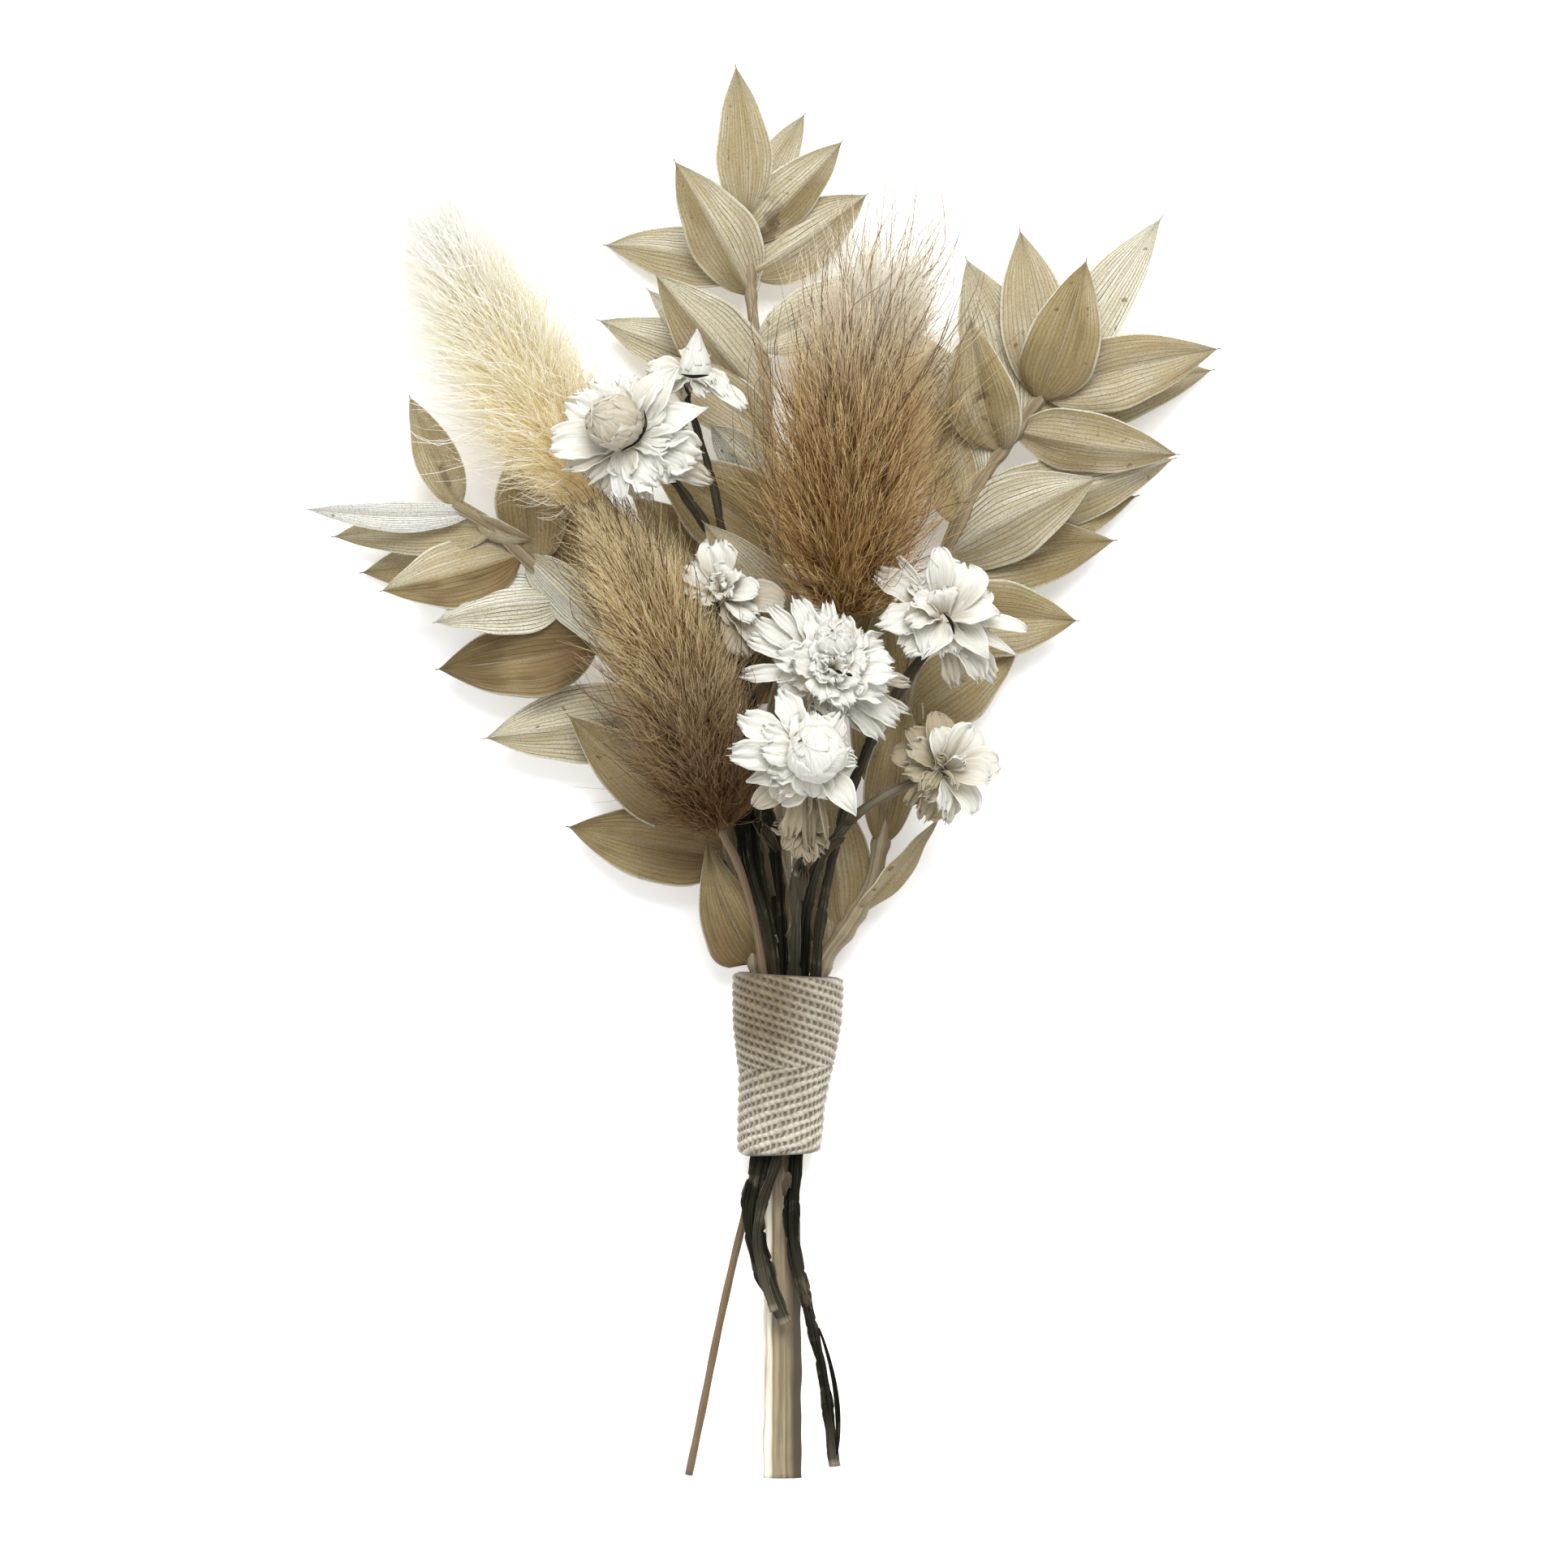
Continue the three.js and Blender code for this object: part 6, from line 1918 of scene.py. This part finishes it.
@dataclass
class WingedStem:
    """A dark flat stem with a thin ruffled wing on each side, its forks and its dry bracts.

    Attributes:
        name: Ends the name of its node.
        seed: Starts its random draws.
        path: What it goes through from its cut end, in mm.
        bloom: The bloom that it carries.
        widths: Its widths with both wings, spread evenly along it.
        height: Its thickness in the middle.
        forks: Side stems as their paths, the blooms that they carry and their widths.
        bracts: Its bracts.
        tones: How grey and bare it is, spread evenly along it; its forks are as bare as its end.
    """

    name: str
    seed: int
    path: list[Point]
    bloom: str
    widths: list[float]
    height: float
    forks: list[tuple[list[Point], str, list[float]]] = field(default_factory=list)
    bracts: tuple[Bract, ...] = ()
    tones: tuple[float, ...] = (0.0, 0.0)

    SIDES = 28
    STEP_MM = 0.35

    def limb(
        self, points: list[Point], bloom: str, widths: list[float], tones: tuple, dice: np.random.Generator
    ) -> Patch:
        """Makes one limb.

        Its section is an ellipse whose height is taken by a power of the sine, which leaves a round
        middle and two thin wings. The wings' width ripples along the limb, each on its own, their edges
        wave up and down, and the middle is wrinkled by ridges that wander round it.

        Args:
            points: What the limb goes through.
            bloom: The bloom at its end.
            widths: Its widths, spread evenly along it.
            tones: How bare it is, spread the same way.
            dice: Draws its ripples.

        Returns:
            The limb's closed skin.
        """
        head = next(candidate for candidate in BLOOMS if candidate.name == bloom)
        path = Path([*points, *seat_run(np.array(head.seat), head.z)])
        count = max(int(path.length / self.STEP_MM), 16)
        share = np.linspace(0, 1, count)
        angle = once_round(self.SIDES)
        run = share[:, None] * path.length
        phases = dice.uniform(0, 2 * math.pi, (5, 3))
        flank = np.sign(np.cos(angle))
        edge = np.abs(np.cos(angle)) ** 3
        notch = np.clip(ripple(1.7 * run + 9 * flank, phases[3]), 0, 1)
        wing = 1 + edge * (0.25 * ripple(0.45 * run + 2 * flank, phases[0]) - 0.4 * notch**3)
        wide = spread_along(widths, share) / 2 * wing * np.cos(angle)
        thick = 0.14 + 0.86 * np.abs(np.sin(angle)) ** 1.6
        wander = 1.5 * ripple(0.25 * run, phases[4])
        wrinkles = 0.12 * np.cos(5 * angle + wander) + 0.08 * ripple(3.2 * run + 4 * angle, phases[2])
        high = self.height / 2 * (1 - 0.35 * share[:, None]) * np.sin(angle) * thick * (1 + wrinkles)
        high = high + 0.3 * edge * ripple(0.8 * run + 2 * flank, phases[1])
        margin = smoothstep(0.88, 0.99, np.abs(np.cos(angle)))
        margin = margin * smoothstep(-0.2, 0.5, ripple(0.5 * run + flank, phases[3]))
        tone = 0.7 * margin + smoothstep(1.0, 0.3, run) + spread_along(tones, share)
        shape = (count, self.SIDES)
        marks = on_grid(shape, along=run, across=angle / (2 * math.pi), tone=np.clip(tone, 0, 1))
        return tube(path.rings(share, wide, high), marks)

    def build(self, dark: bpy.types.Material, bract: bpy.types.Material) -> bpy.types.Object:
        """Makes the stem's piece.

        Args:
            dark: The stem's material.
            bract: The bracts' material.

        Returns:
            The finished piece, riding on the root body.
        """
        dice = np.random.default_rng(self.seed)
        skins = [self.limb(self.path, self.bloom, self.widths, self.tones, dice)]
        skins += [self.limb(*fork, (self.tones[-1], self.tones[-1]), dice) for fork in self.forks]
        for scale in self.bracts:
            skin = scale.blade.skin(np.array(scale.root), np.array(scale.facing), 0.0, dice)
            skin.finish = int(not scale.dark)
            skins.append(skin)
        piece = make_piece(f"wing_stem_{self.name}", skins, [dark, bract])
        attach(piece, "root")
        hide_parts(f"winged_stem_{self.name}")
        return piece


WINGED_STEMS = (
    WingedStem(
        name="left",
        seed=91,
        path=[
            (-0.1, -32.0, 7.0), (-1.5, -28.8, 7.2), (-3.1, -24.8, 7.2), (-4.2, -19.6, 7.1),
            (-3.7, -15, 6.9), (-2.9, -11, 6.5), (-1.4, 0, 6.2), (-0.9, 11, 6.6), (-1.0, 16, 7.2),
            (-1.2, 22, 8.0), (-1.6, 27.4, 8.4), (-4.2, 38, 8.6), (-5.4, 52, 9.0), (-7.6, 63, 9.8),
            (-8.8, 70, 12.0), (-11.0, 78, 15.2),
        ],
        bloom="left_back",
        widths=[1.7, 2.7, 3.1, 2.8, 2.4, 2.0, 1.8, 1.6, 1.5, 1.3, 1.2, 1.1, 0.9, 0.8],
        height=1.4,
        forks=[([(-7.4, 62.4, 9.8), (-11.4, 68.4, 14.2)], "left_front", [1.2, 1.3, 1.1])],
        bracts=(Bract((-1.2, 26.4, 9.6), Petal(-2.8, 29.4, 11.0, 1.2, 10, 0.6, 1.2)),),
        tones=(0.25, 0.0, 0.0, 0.0, 0.0, 0.0, 0.05, 0.1, 0.1, 0.15, 0.2, 0.3, 0.3, 0.3),
    ),
    WingedStem(
        name="grey",
        seed=92,
        path=[
            (-1.6, -30.4, 8.6), (-2.9, -26.4, 9), (-3.7, -21.4, 9.2), (-3.0, -17, 8.9), (-1.2, -11, 7.6),
            (-1.2, 0, 8.4), (-1.6, 11, 8.8), (-2.6, 18, 10.8), (-4.0, 23, 12.0), (-4.9, 28, 12.2),
            (-5.0, 34, 12.4), (-4.4, 42, 12.8), (-5.6, 50, 14.6),
        ],
        bloom="middle_back",
        widths=[1.1, 1.3, 1.3, 1.3, 1.4, 1.5, 1.6, 3.2, 3.3, 1.8, 1.6, 1.4],
        height=1.1,
        bracts=(
            Bract((-1.7, 20.8, 10.8), Petal(-4.8, 30.8, 12.4, 1.6, 0, 0.3, 0.9, POINT)),
            Bract((-0.4, -16.2, 7.4), Petal(0.0, -13.4, 8.2, 0.9, 0, 0.4, 1.0, POINT)),
        ),
        tones=(0.45, 0.12, 0.06, 0.1, 0.12, 0.1, 0.05, 0.0, 0.0, 0.05, 0.2, 0.3),
    ),
    WingedStem(
        name="middle",
        seed=93,
        path=[
            (1.2, 2, 8.9), (0.9, 11, 9.4), (1, 18, 12.4), (1.2, 23, 16), (1.6, 28.6, 20.4), (1.9, 33, 24.4),
        ],
        bloom="middle_front",
        widths=[1.9, 1.5, 1.3, 1.2, 1.2],
        height=1.2,
        forks=[
            ([(1.2, 24.4, 16.8), (2.6, 37, 18.6)], "middle", [1.1, 1.2, 1.2]),
            ([(1.2, 23.6, 16.4)], "middle_low", [1.0, 0.9]),
        ],
        bracts=(
            Bract((0.9, 17.4, 12.8), Petal(0.6, 23.6, 14.8, 1.2, 20, 0.4, 1.3, POINT)),
            Bract((1.7, 20.4, 14.6), Petal(2.1, 24.4, 17.6, 1.1, 0, 0.4, 1.2)),
        ),
        tones=(0.05, 0.1, 0.3, 0.3, 0.15),
    ),
    WingedStem(
        name="right_low",
        seed=94,
        path=[
            (5.9, -49.8, 4.6), (5.2, -44, 4.8), (4.4, -38.8, 5.2), (3.5, -34.2, 5.6), (2.5, -29.8, 6.2),
            (1.3, -25.4, 6.6), (0.6, -21, 6.7), (0.6, -17, 6.6), (1.0, -11, 6.1), (1.6, 0, 7.0),
            (1.9, 11, 7.8), (1.9, 15.4, 8.8), (2.5, 20, 10.0), (4.1, 25.2, 12.0), (6.6, 28.8, 13.6),
            (9.0, 31.2, 14.8), (13.0, 33.8, 16.8),
        ],
        bloom="right_lower",
        widths=[1.5, 1.4, 1.3, 1.6, 2.0, 1.9, 1.9, 2.0, 2.0, 2.1, 1.5, 1.2, 1.3, 1.0],
        height=1.3,
        bracts=(
            Bract((7.4, 29.6, 14.6), Petal(8.4, 31.0, 15.0, 1.2, 0, 0.4, 1.6, ROUND)),
            Bract((4.6, 26.6, 13.4), Petal(7.0, 28.0, 14.4, 1.0, 0, -0.4, 0.8, ROUND)),
            Bract((2.1, -28.2, 7.0), Petal(2.7, -29.8, 7.2, 0.8, 0, 0.2, 1.3)),
            Bract((0.2, -15.2, 7.4), Petal(0.0, -13.4, 7.8, 0.8, 0, 0.3, 0.8, ROUND)),
            Bract(
                (3.9, -32.6, 6.2), Petal(6.1, -48.2, 5.0, 0.5, 90, 0.95, 0.0, ROUND), True, (1.0, 0.0, 0.0)
            ),
        ),
        tones=(0.3, 0.0, 0.0, 0.1, 0.0, 0.0, 0.0, 0.0, 0.0, 0.0, 0.15, 0.3, 0.75, 0.95),
    ),
    WingedStem(
        name="right_high",
        seed=95,
        path=[
            (3.5, 3, 7.4), (3.5, 11, 7.8), (4.8, 22, 9.6), (7.9, 34, 12.8), (11.8, 43, 16.2), (15.4, 48.6, 19),
        ],
        bloom="right_upper",
        widths=[1.6, 1.4, 1.2, 1.3, 1.5, 1.3],
        height=1.2,
        tones=(0.0, 0.1, 0.15, 0.2, 0.3, 0.4),
    ),
)


# ---- The tape wrap ----


@dataclass
class TapeWrap:
    """Cotton twill tape wound round the stems: two turns whose ribs slope opposite ways and meet midway.

    Attributes:
        sections: From the stem side up, each y, centre x, centre z, half width and half height, in mm.
        pitch: The distance from rib to rib.
        wall: The wrap's thickness.
        relief: How high its ribs stand.
        upper_climb: Ribs that the upper turn climbs in one round; the lower one slopes the other way.
        lower_climb: Ribs that the lower turn climbs in one round.
        upper_yarns: Yarn floats in one round of the upper turn.
        lower_yarns: Yarn floats in one round of the lower turn.
        columns: Points round the wrap.
        rows: Rings of its outside.
    """

    sections: tuple[tuple[float, float, float, float, float], ...] = (
        (-11.4, -1.1, 5.0, 4.6, 4.6),
        (-10.2, -1.0, 5.1, 5.1, 5.3),
        (-5.0, -0.7, 5.3, 5.3, 5.6),
        (-0.5, -0.2, 5.8, 5.7, 6.1),
        (5.0, 0.0, 6.3, 6.5, 6.6),
        (9.0, 0.1, 6.4, 6.65, 6.7),
        (11.4, 0.1, 6.4, 6.6, 6.6),
    )
    pitch: float = 1.06
    wall: float = 1.0
    relief: float = 0.5
    upper_climb: int = -11
    lower_climb: int = 8
    upper_yarns: int = 44
    lower_yarns: int = 42
    columns: int = 400
    rows: int = 216

    # Heights of the wrap's two ends and of the line where its turns meet, in mm.
    TOP = 11.05
    BOTTOM = -11.2
    SEAM = -0.35
    # How much the lower turn's pattern is drawn out.
    LOWER_STRETCH = 0.86
    # The inside: how far it lies over the floor, its rings' heights, and its marks lift and dusk.
    INSIDE_LIFT = 0.9
    INSIDE_LEVELS = (5.0, -0.5, -5.0)
    INSIDE_MARKS = (0.3, 0.5)

    def weave(self, y: Array, turn: Array, climb: int, yarns: int) -> Array:
        """The height of the ribs from 0 to 1.

        A rib is a rounded ridge over two thirds of its pitch, with slanted yarns along it. The trough
        beside it is crossed by bars, one for each yarn, with a small hole between two bars. Bars are
        stepped from rib to rib by a whole share, so that the pattern closes round the wrap.

        Args:
            y: Heights in mm.
            turn: Places round the wrap in turns, 0 in front.
            climb: Ribs that the pattern climbs in one turn.
            yarns: Yarn floats in one turn.

        Returns:
            The height in the shape of y and turn.
        """
        rib = y / self.pitch - climb * turn
        across = 2 * (rib - np.floor(rib)) - 1
        ridge = np.sqrt(np.clip(1 - (across / 0.66) ** 2, 0, 1))
        step = round(0.37 * abs(climb)) / abs(climb)
        slub = 0.32 * ripple(2 * math.pi * 5 * turn, [0.3, 1.9]) * np.sin(2.3 * y + 1.0)
        phase = 2 * math.pi * (yarns * turn + step * np.floor(rib) + slub)
        yarn = 0.5 + 0.5 * np.cos(phase + 2.4 * across)
        crossing = 2 * math.pi * (yarns * turn + step * np.floor(rib + 0.5) + slub)
        bar = (0.5 - 0.5 * np.cos(crossing)) ** 0.8
        return np.maximum(ridge * (0.62 + 0.38 * yarn), 0.08 + 0.44 * bar)

    def build(self, cotton: bpy.types.Material) -> bpy.types.Object:
        """Makes the wrap's piece: a ribbed outside, rounded rims and a plain inside, pressed flat below."""
        turn = np.linspace(0, 1, self.columns, endpoint=False)[None, :]
        angle = 2 * math.pi * turn
        share = np.linspace(0, 1, self.rows)[:, None]
        top = self.TOP - 0.35 * np.sin(angle)
        bottom = self.BOTTOM + 0.18 * np.sin(angle)
        y = bottom + (top - bottom) * share
        stray = 0.12 * ripple(1.3 * y + 2 * np.sin(angle), [0.4, 2.2, 4.1])
        uneven = 0.004 * ripple(2.1 * y, [1.0, 3.0, 5.0])
        place = turn + uneven
        waved = y + 0.12 * np.sin(3 * angle) + stray
        upper = self.weave(waved, place, self.upper_climb, self.upper_yarns)
        lower = self.weave(self.LOWER_STRETCH * y + stray, place, self.lower_climb, self.lower_yarns)
        seam = self.SEAM + 0.25 * np.sin(angle)
        above = smoothstep(-0.12, 0.12, y - seam)
        lift = lower * (1 - above) + upper * above
        lift = lift * smoothstep(0, 0.012, share) * smoothstep(1, 0.988, share)
        rim = smoothstep(0.02, 0.0, share) + smoothstep(0.98, 1.0, share)
        stand = self.relief * (lift - 0.6) + 0.1 * above - 0.35 * rim**2
        rings = [self._ring(y, angle, stand)]
        for level in (y[-1:] - 0.2, *self.INSIDE_LEVELS, y[:1] + 0.2):
            rings.append(self._ring(level + 0 * angle, angle, -self.wall + 0 * angle))
        rings = np.concatenate(rings)
        numbers = np.arange(len(rings) * self.columns).reshape(len(rings), self.columns)
        beside, following = np.roll(numbers, -1, axis=1), np.roll(numbers, -1, axis=0)
        corner = np.roll(beside, -1, axis=0)
        quads = np.stack([numbers, beside, corner, following], axis=-1).reshape(-1, 4)
        leftward = np.mod(angle + 0.5 + math.pi, 2 * math.pi) - math.pi
        # Painted shade: darker towards the top and towards the left, where the blooms above shade the tape.
        dusk = smoothstep(-9, 7, y) * np.exp(-((leftward / 1.1) ** 2)) + 0.25 * smoothstep(2, -3, leftward)
        marks = {}
        for name, values, inside in zip(("lift", "dusk"), (lift, np.clip(dusk, 0, 1)), self.INSIDE_MARKS):
            plain = np.full((len(rings) - self.rows) * self.columns, inside)
            marks[name] = np.concatenate([values.reshape(-1), plain])
        patch = Patch(rings.reshape(-1, 3), [quads], marks)
        piece = make_piece("cotton_tape_wrap", [patch], [cotton])
        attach(piece, "root")
        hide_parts("tape_wrap")
        return piece

    def _ring(self, y: Array, angle: Array, stand: Array) -> Array:
        """Puts points on the wrap's sections and presses them flat on the surface below.

        Args:
            y: Heights in mm.
            angle: Places round the wrap in radians, 0 in front.
            stand: How far the points stand out from the sections; it is below 0 on the inside.

        Returns:
            The points in mm.
        """
        levels = np.array(self.sections)
        x0, z0, wide, high = (np.interp(y, levels[:, 0], levels[:, k]) for k in (1, 2, 3, 4))
        x = x0 + (wide + stand) * np.sin(angle)
        z = z0 + (high + stand) * np.cos(angle)
        floor_line = np.where(stand < -self.wall / 2, self.INSIDE_LIFT, 0.0) + 0.04 * (stand + 0.2)
        return np.stack([x, y + 0 * x, np.maximum(z, np.maximum(floor_line, 0.0))], axis=-1)


# ---- Stage ----


@dataclass(frozen=True)
class Studio:
    """A pale light table, soft light from all round, two large lamps, and the camera straight above.

    Attributes:
        centre: What the camera and the lamps aim at, in mm.
        view_mm: The width of the view at that height.
        lens: The camera's focal length, in mm.
        sensor: The width of its sensor, in mm.
        sky: The brightness of the light from all round.
        key_watts: The power of the lamp beyond the leaf tips.
        table_glow: The light that the table itself gives.
        bounces: How often light may bounce in all and pass through leaves.
        soft_bounces: How often it may bounce off matt faces.
        table_mm: Half the table's width.
    """

    centre: Point = (-0.4, 34.6, 10.0)
    view_mm: float = 193.2
    lens: float = 250.0
    sensor: float = 36.0
    sky: float = 0.64
    key_watts: float = 17.0
    table_glow: float = 0.28
    bounces: int = 24
    soft_bounces: int = 12
    table_mm: float = 1500.0

    TABLE_DROP = -5e-5  # metres; the table lies this little below the part's rest face

    def build(self) -> None:
        """Sets up the floor, the lights, the camera and how brightness is shown."""
        scene = bpy.context.scene
        scene.view_settings.view_transform = "Standard"
        scene.cycles.max_bounces = self.bounces
        scene.cycles.diffuse_bounces = self.soft_bounces
        scene.cycles.transmission_bounces = self.bounces
        half = self.table_mm * MM
        square = ((-half, -half), (half, -half), (half, half), (-half, half))
        corners = [(x, y, self.TABLE_DROP) for x, y in square]
        floor_mesh = bpy.data.meshes.new("floor")
        floor_mesh.from_pydata(corners, [], [(0, 1, 2, 3)])
        tree = ShaderTree("pale_floor")
        grain = tree.mix(tree.noise(40.0, 2.0), (0.98, 0.98, 0.98), (0.99, 0.99, 0.99))
        light = {"Emission_Color": (1.0, 1.0, 1.0, 1.0), "Emission_Strength": self.table_glow}
        floor_mesh.materials.append(tree.finish(tree.surface(grain, 0.9, 0.1, **light)))
        floor = bpy.data.objects.new("floor", floor_mesh)
        scene.collection.objects.link(floor)
        world = bpy.data.worlds.new("studio")
        world.use_nodes = True
        sky = world.node_tree.nodes["Background"].inputs
        sky["Color"].default_value = (1.0, 0.995, 0.985, 1.0)
        sky["Strength"].default_value = self.sky
        scene.world = world
        self._lamp("key", (0.1, 0.72, 1.0), 0.7, self.key_watts)
        self._lamp("fill", (-0.6, -0.4, 0.9), 0.9, 0.15 * self.key_watts)
        self._camera(scene)

    def _lamp(self, name: str, place: Point, size: float, watts: float) -> None:
        """Adds a square lamp that faces the piece.

        Args:
            name: The lamp's name.
            place: Where it hangs, in metres.
            size: Its width, in metres.
            watts: Its power.
        """
        data = bpy.data.lights.new(name, "AREA")
        data.energy = watts
        data.size = size
        lamp = bpy.data.objects.new(name, data)
        lamp.location = place
        aim = np.array(self.centre) * MM - np.array(place)
        lamp.rotation_euler = (
            math.acos(-aim[2] / float(np.linalg.norm(aim))),
            0.0,
            math.atan2(aim[1], aim[0]) - math.pi / 2,
        )
        bpy.context.scene.collection.objects.link(lamp)

    def _camera(self, scene: bpy.types.Scene) -> None:
        """Hangs the camera straight above, so that the view's width at the piece is the photo's."""
        data = bpy.data.cameras.new("camera")
        data.lens = self.lens
        data.sensor_width = self.sensor
        data.clip_end = 20.0
        camera = bpy.data.objects.new("camera", data)
        away = self.view_mm * self.lens / self.sensor
        camera.location = [(value + rise) * MM for value, rise in zip(self.centre, (0.0, 0.0, away))]
        scene.collection.objects.link(camera)
        scene.camera = camera


def main() -> None:
    """Builds every piece in order and reports each one's triangles."""
    logging.basicConfig(level=logging.INFO, format="%(name)s: %(message)s")
    Studio().build()
    leaf = LeafFinish().make()
    wood, stalk, dark = (finish.make() for finish in (WOOD, STALK, DARK_STEM))
    petal, bract = (finish.make() for finish in (PETAL, DRY_BRACT))
    cream_hair, cream_awn, brown_hair, brown_awn, dusky_hair, dusky_awn = (finish.make() for finish in HAIRS)
    pieces = [TapeWrap().build(TapeFinish().make())]
    pieces += [spray.build(leaf, wood) for spray in (CENTRE_SPRAY, RIGHT_SPRAY, LEFT_SPRAY)]
    pieces += CREAM_HEAD.build(cream_hair, cream_awn, "cream_hair", stalk)
    pieces += LEFT_HEAD.build(dusky_hair, dusky_awn, "brown_hair", stalk)
    pieces += RIGHT_HEAD.build(brown_hair, brown_awn, "brown_hair", stalk)
    pieces += [bloom.build(petal, dark) for bloom in BLOOMS]
    pieces += [stem.build(dark, bract) for stem in WINGED_STEMS]
    for piece in pieces:
        triangles = sum(len(face.vertices) - 2 for face in piece.data.polygons)
        LOG.info("%s: %d triangles", piece.name, triangles)


if __name__ == "__main__":
    main()
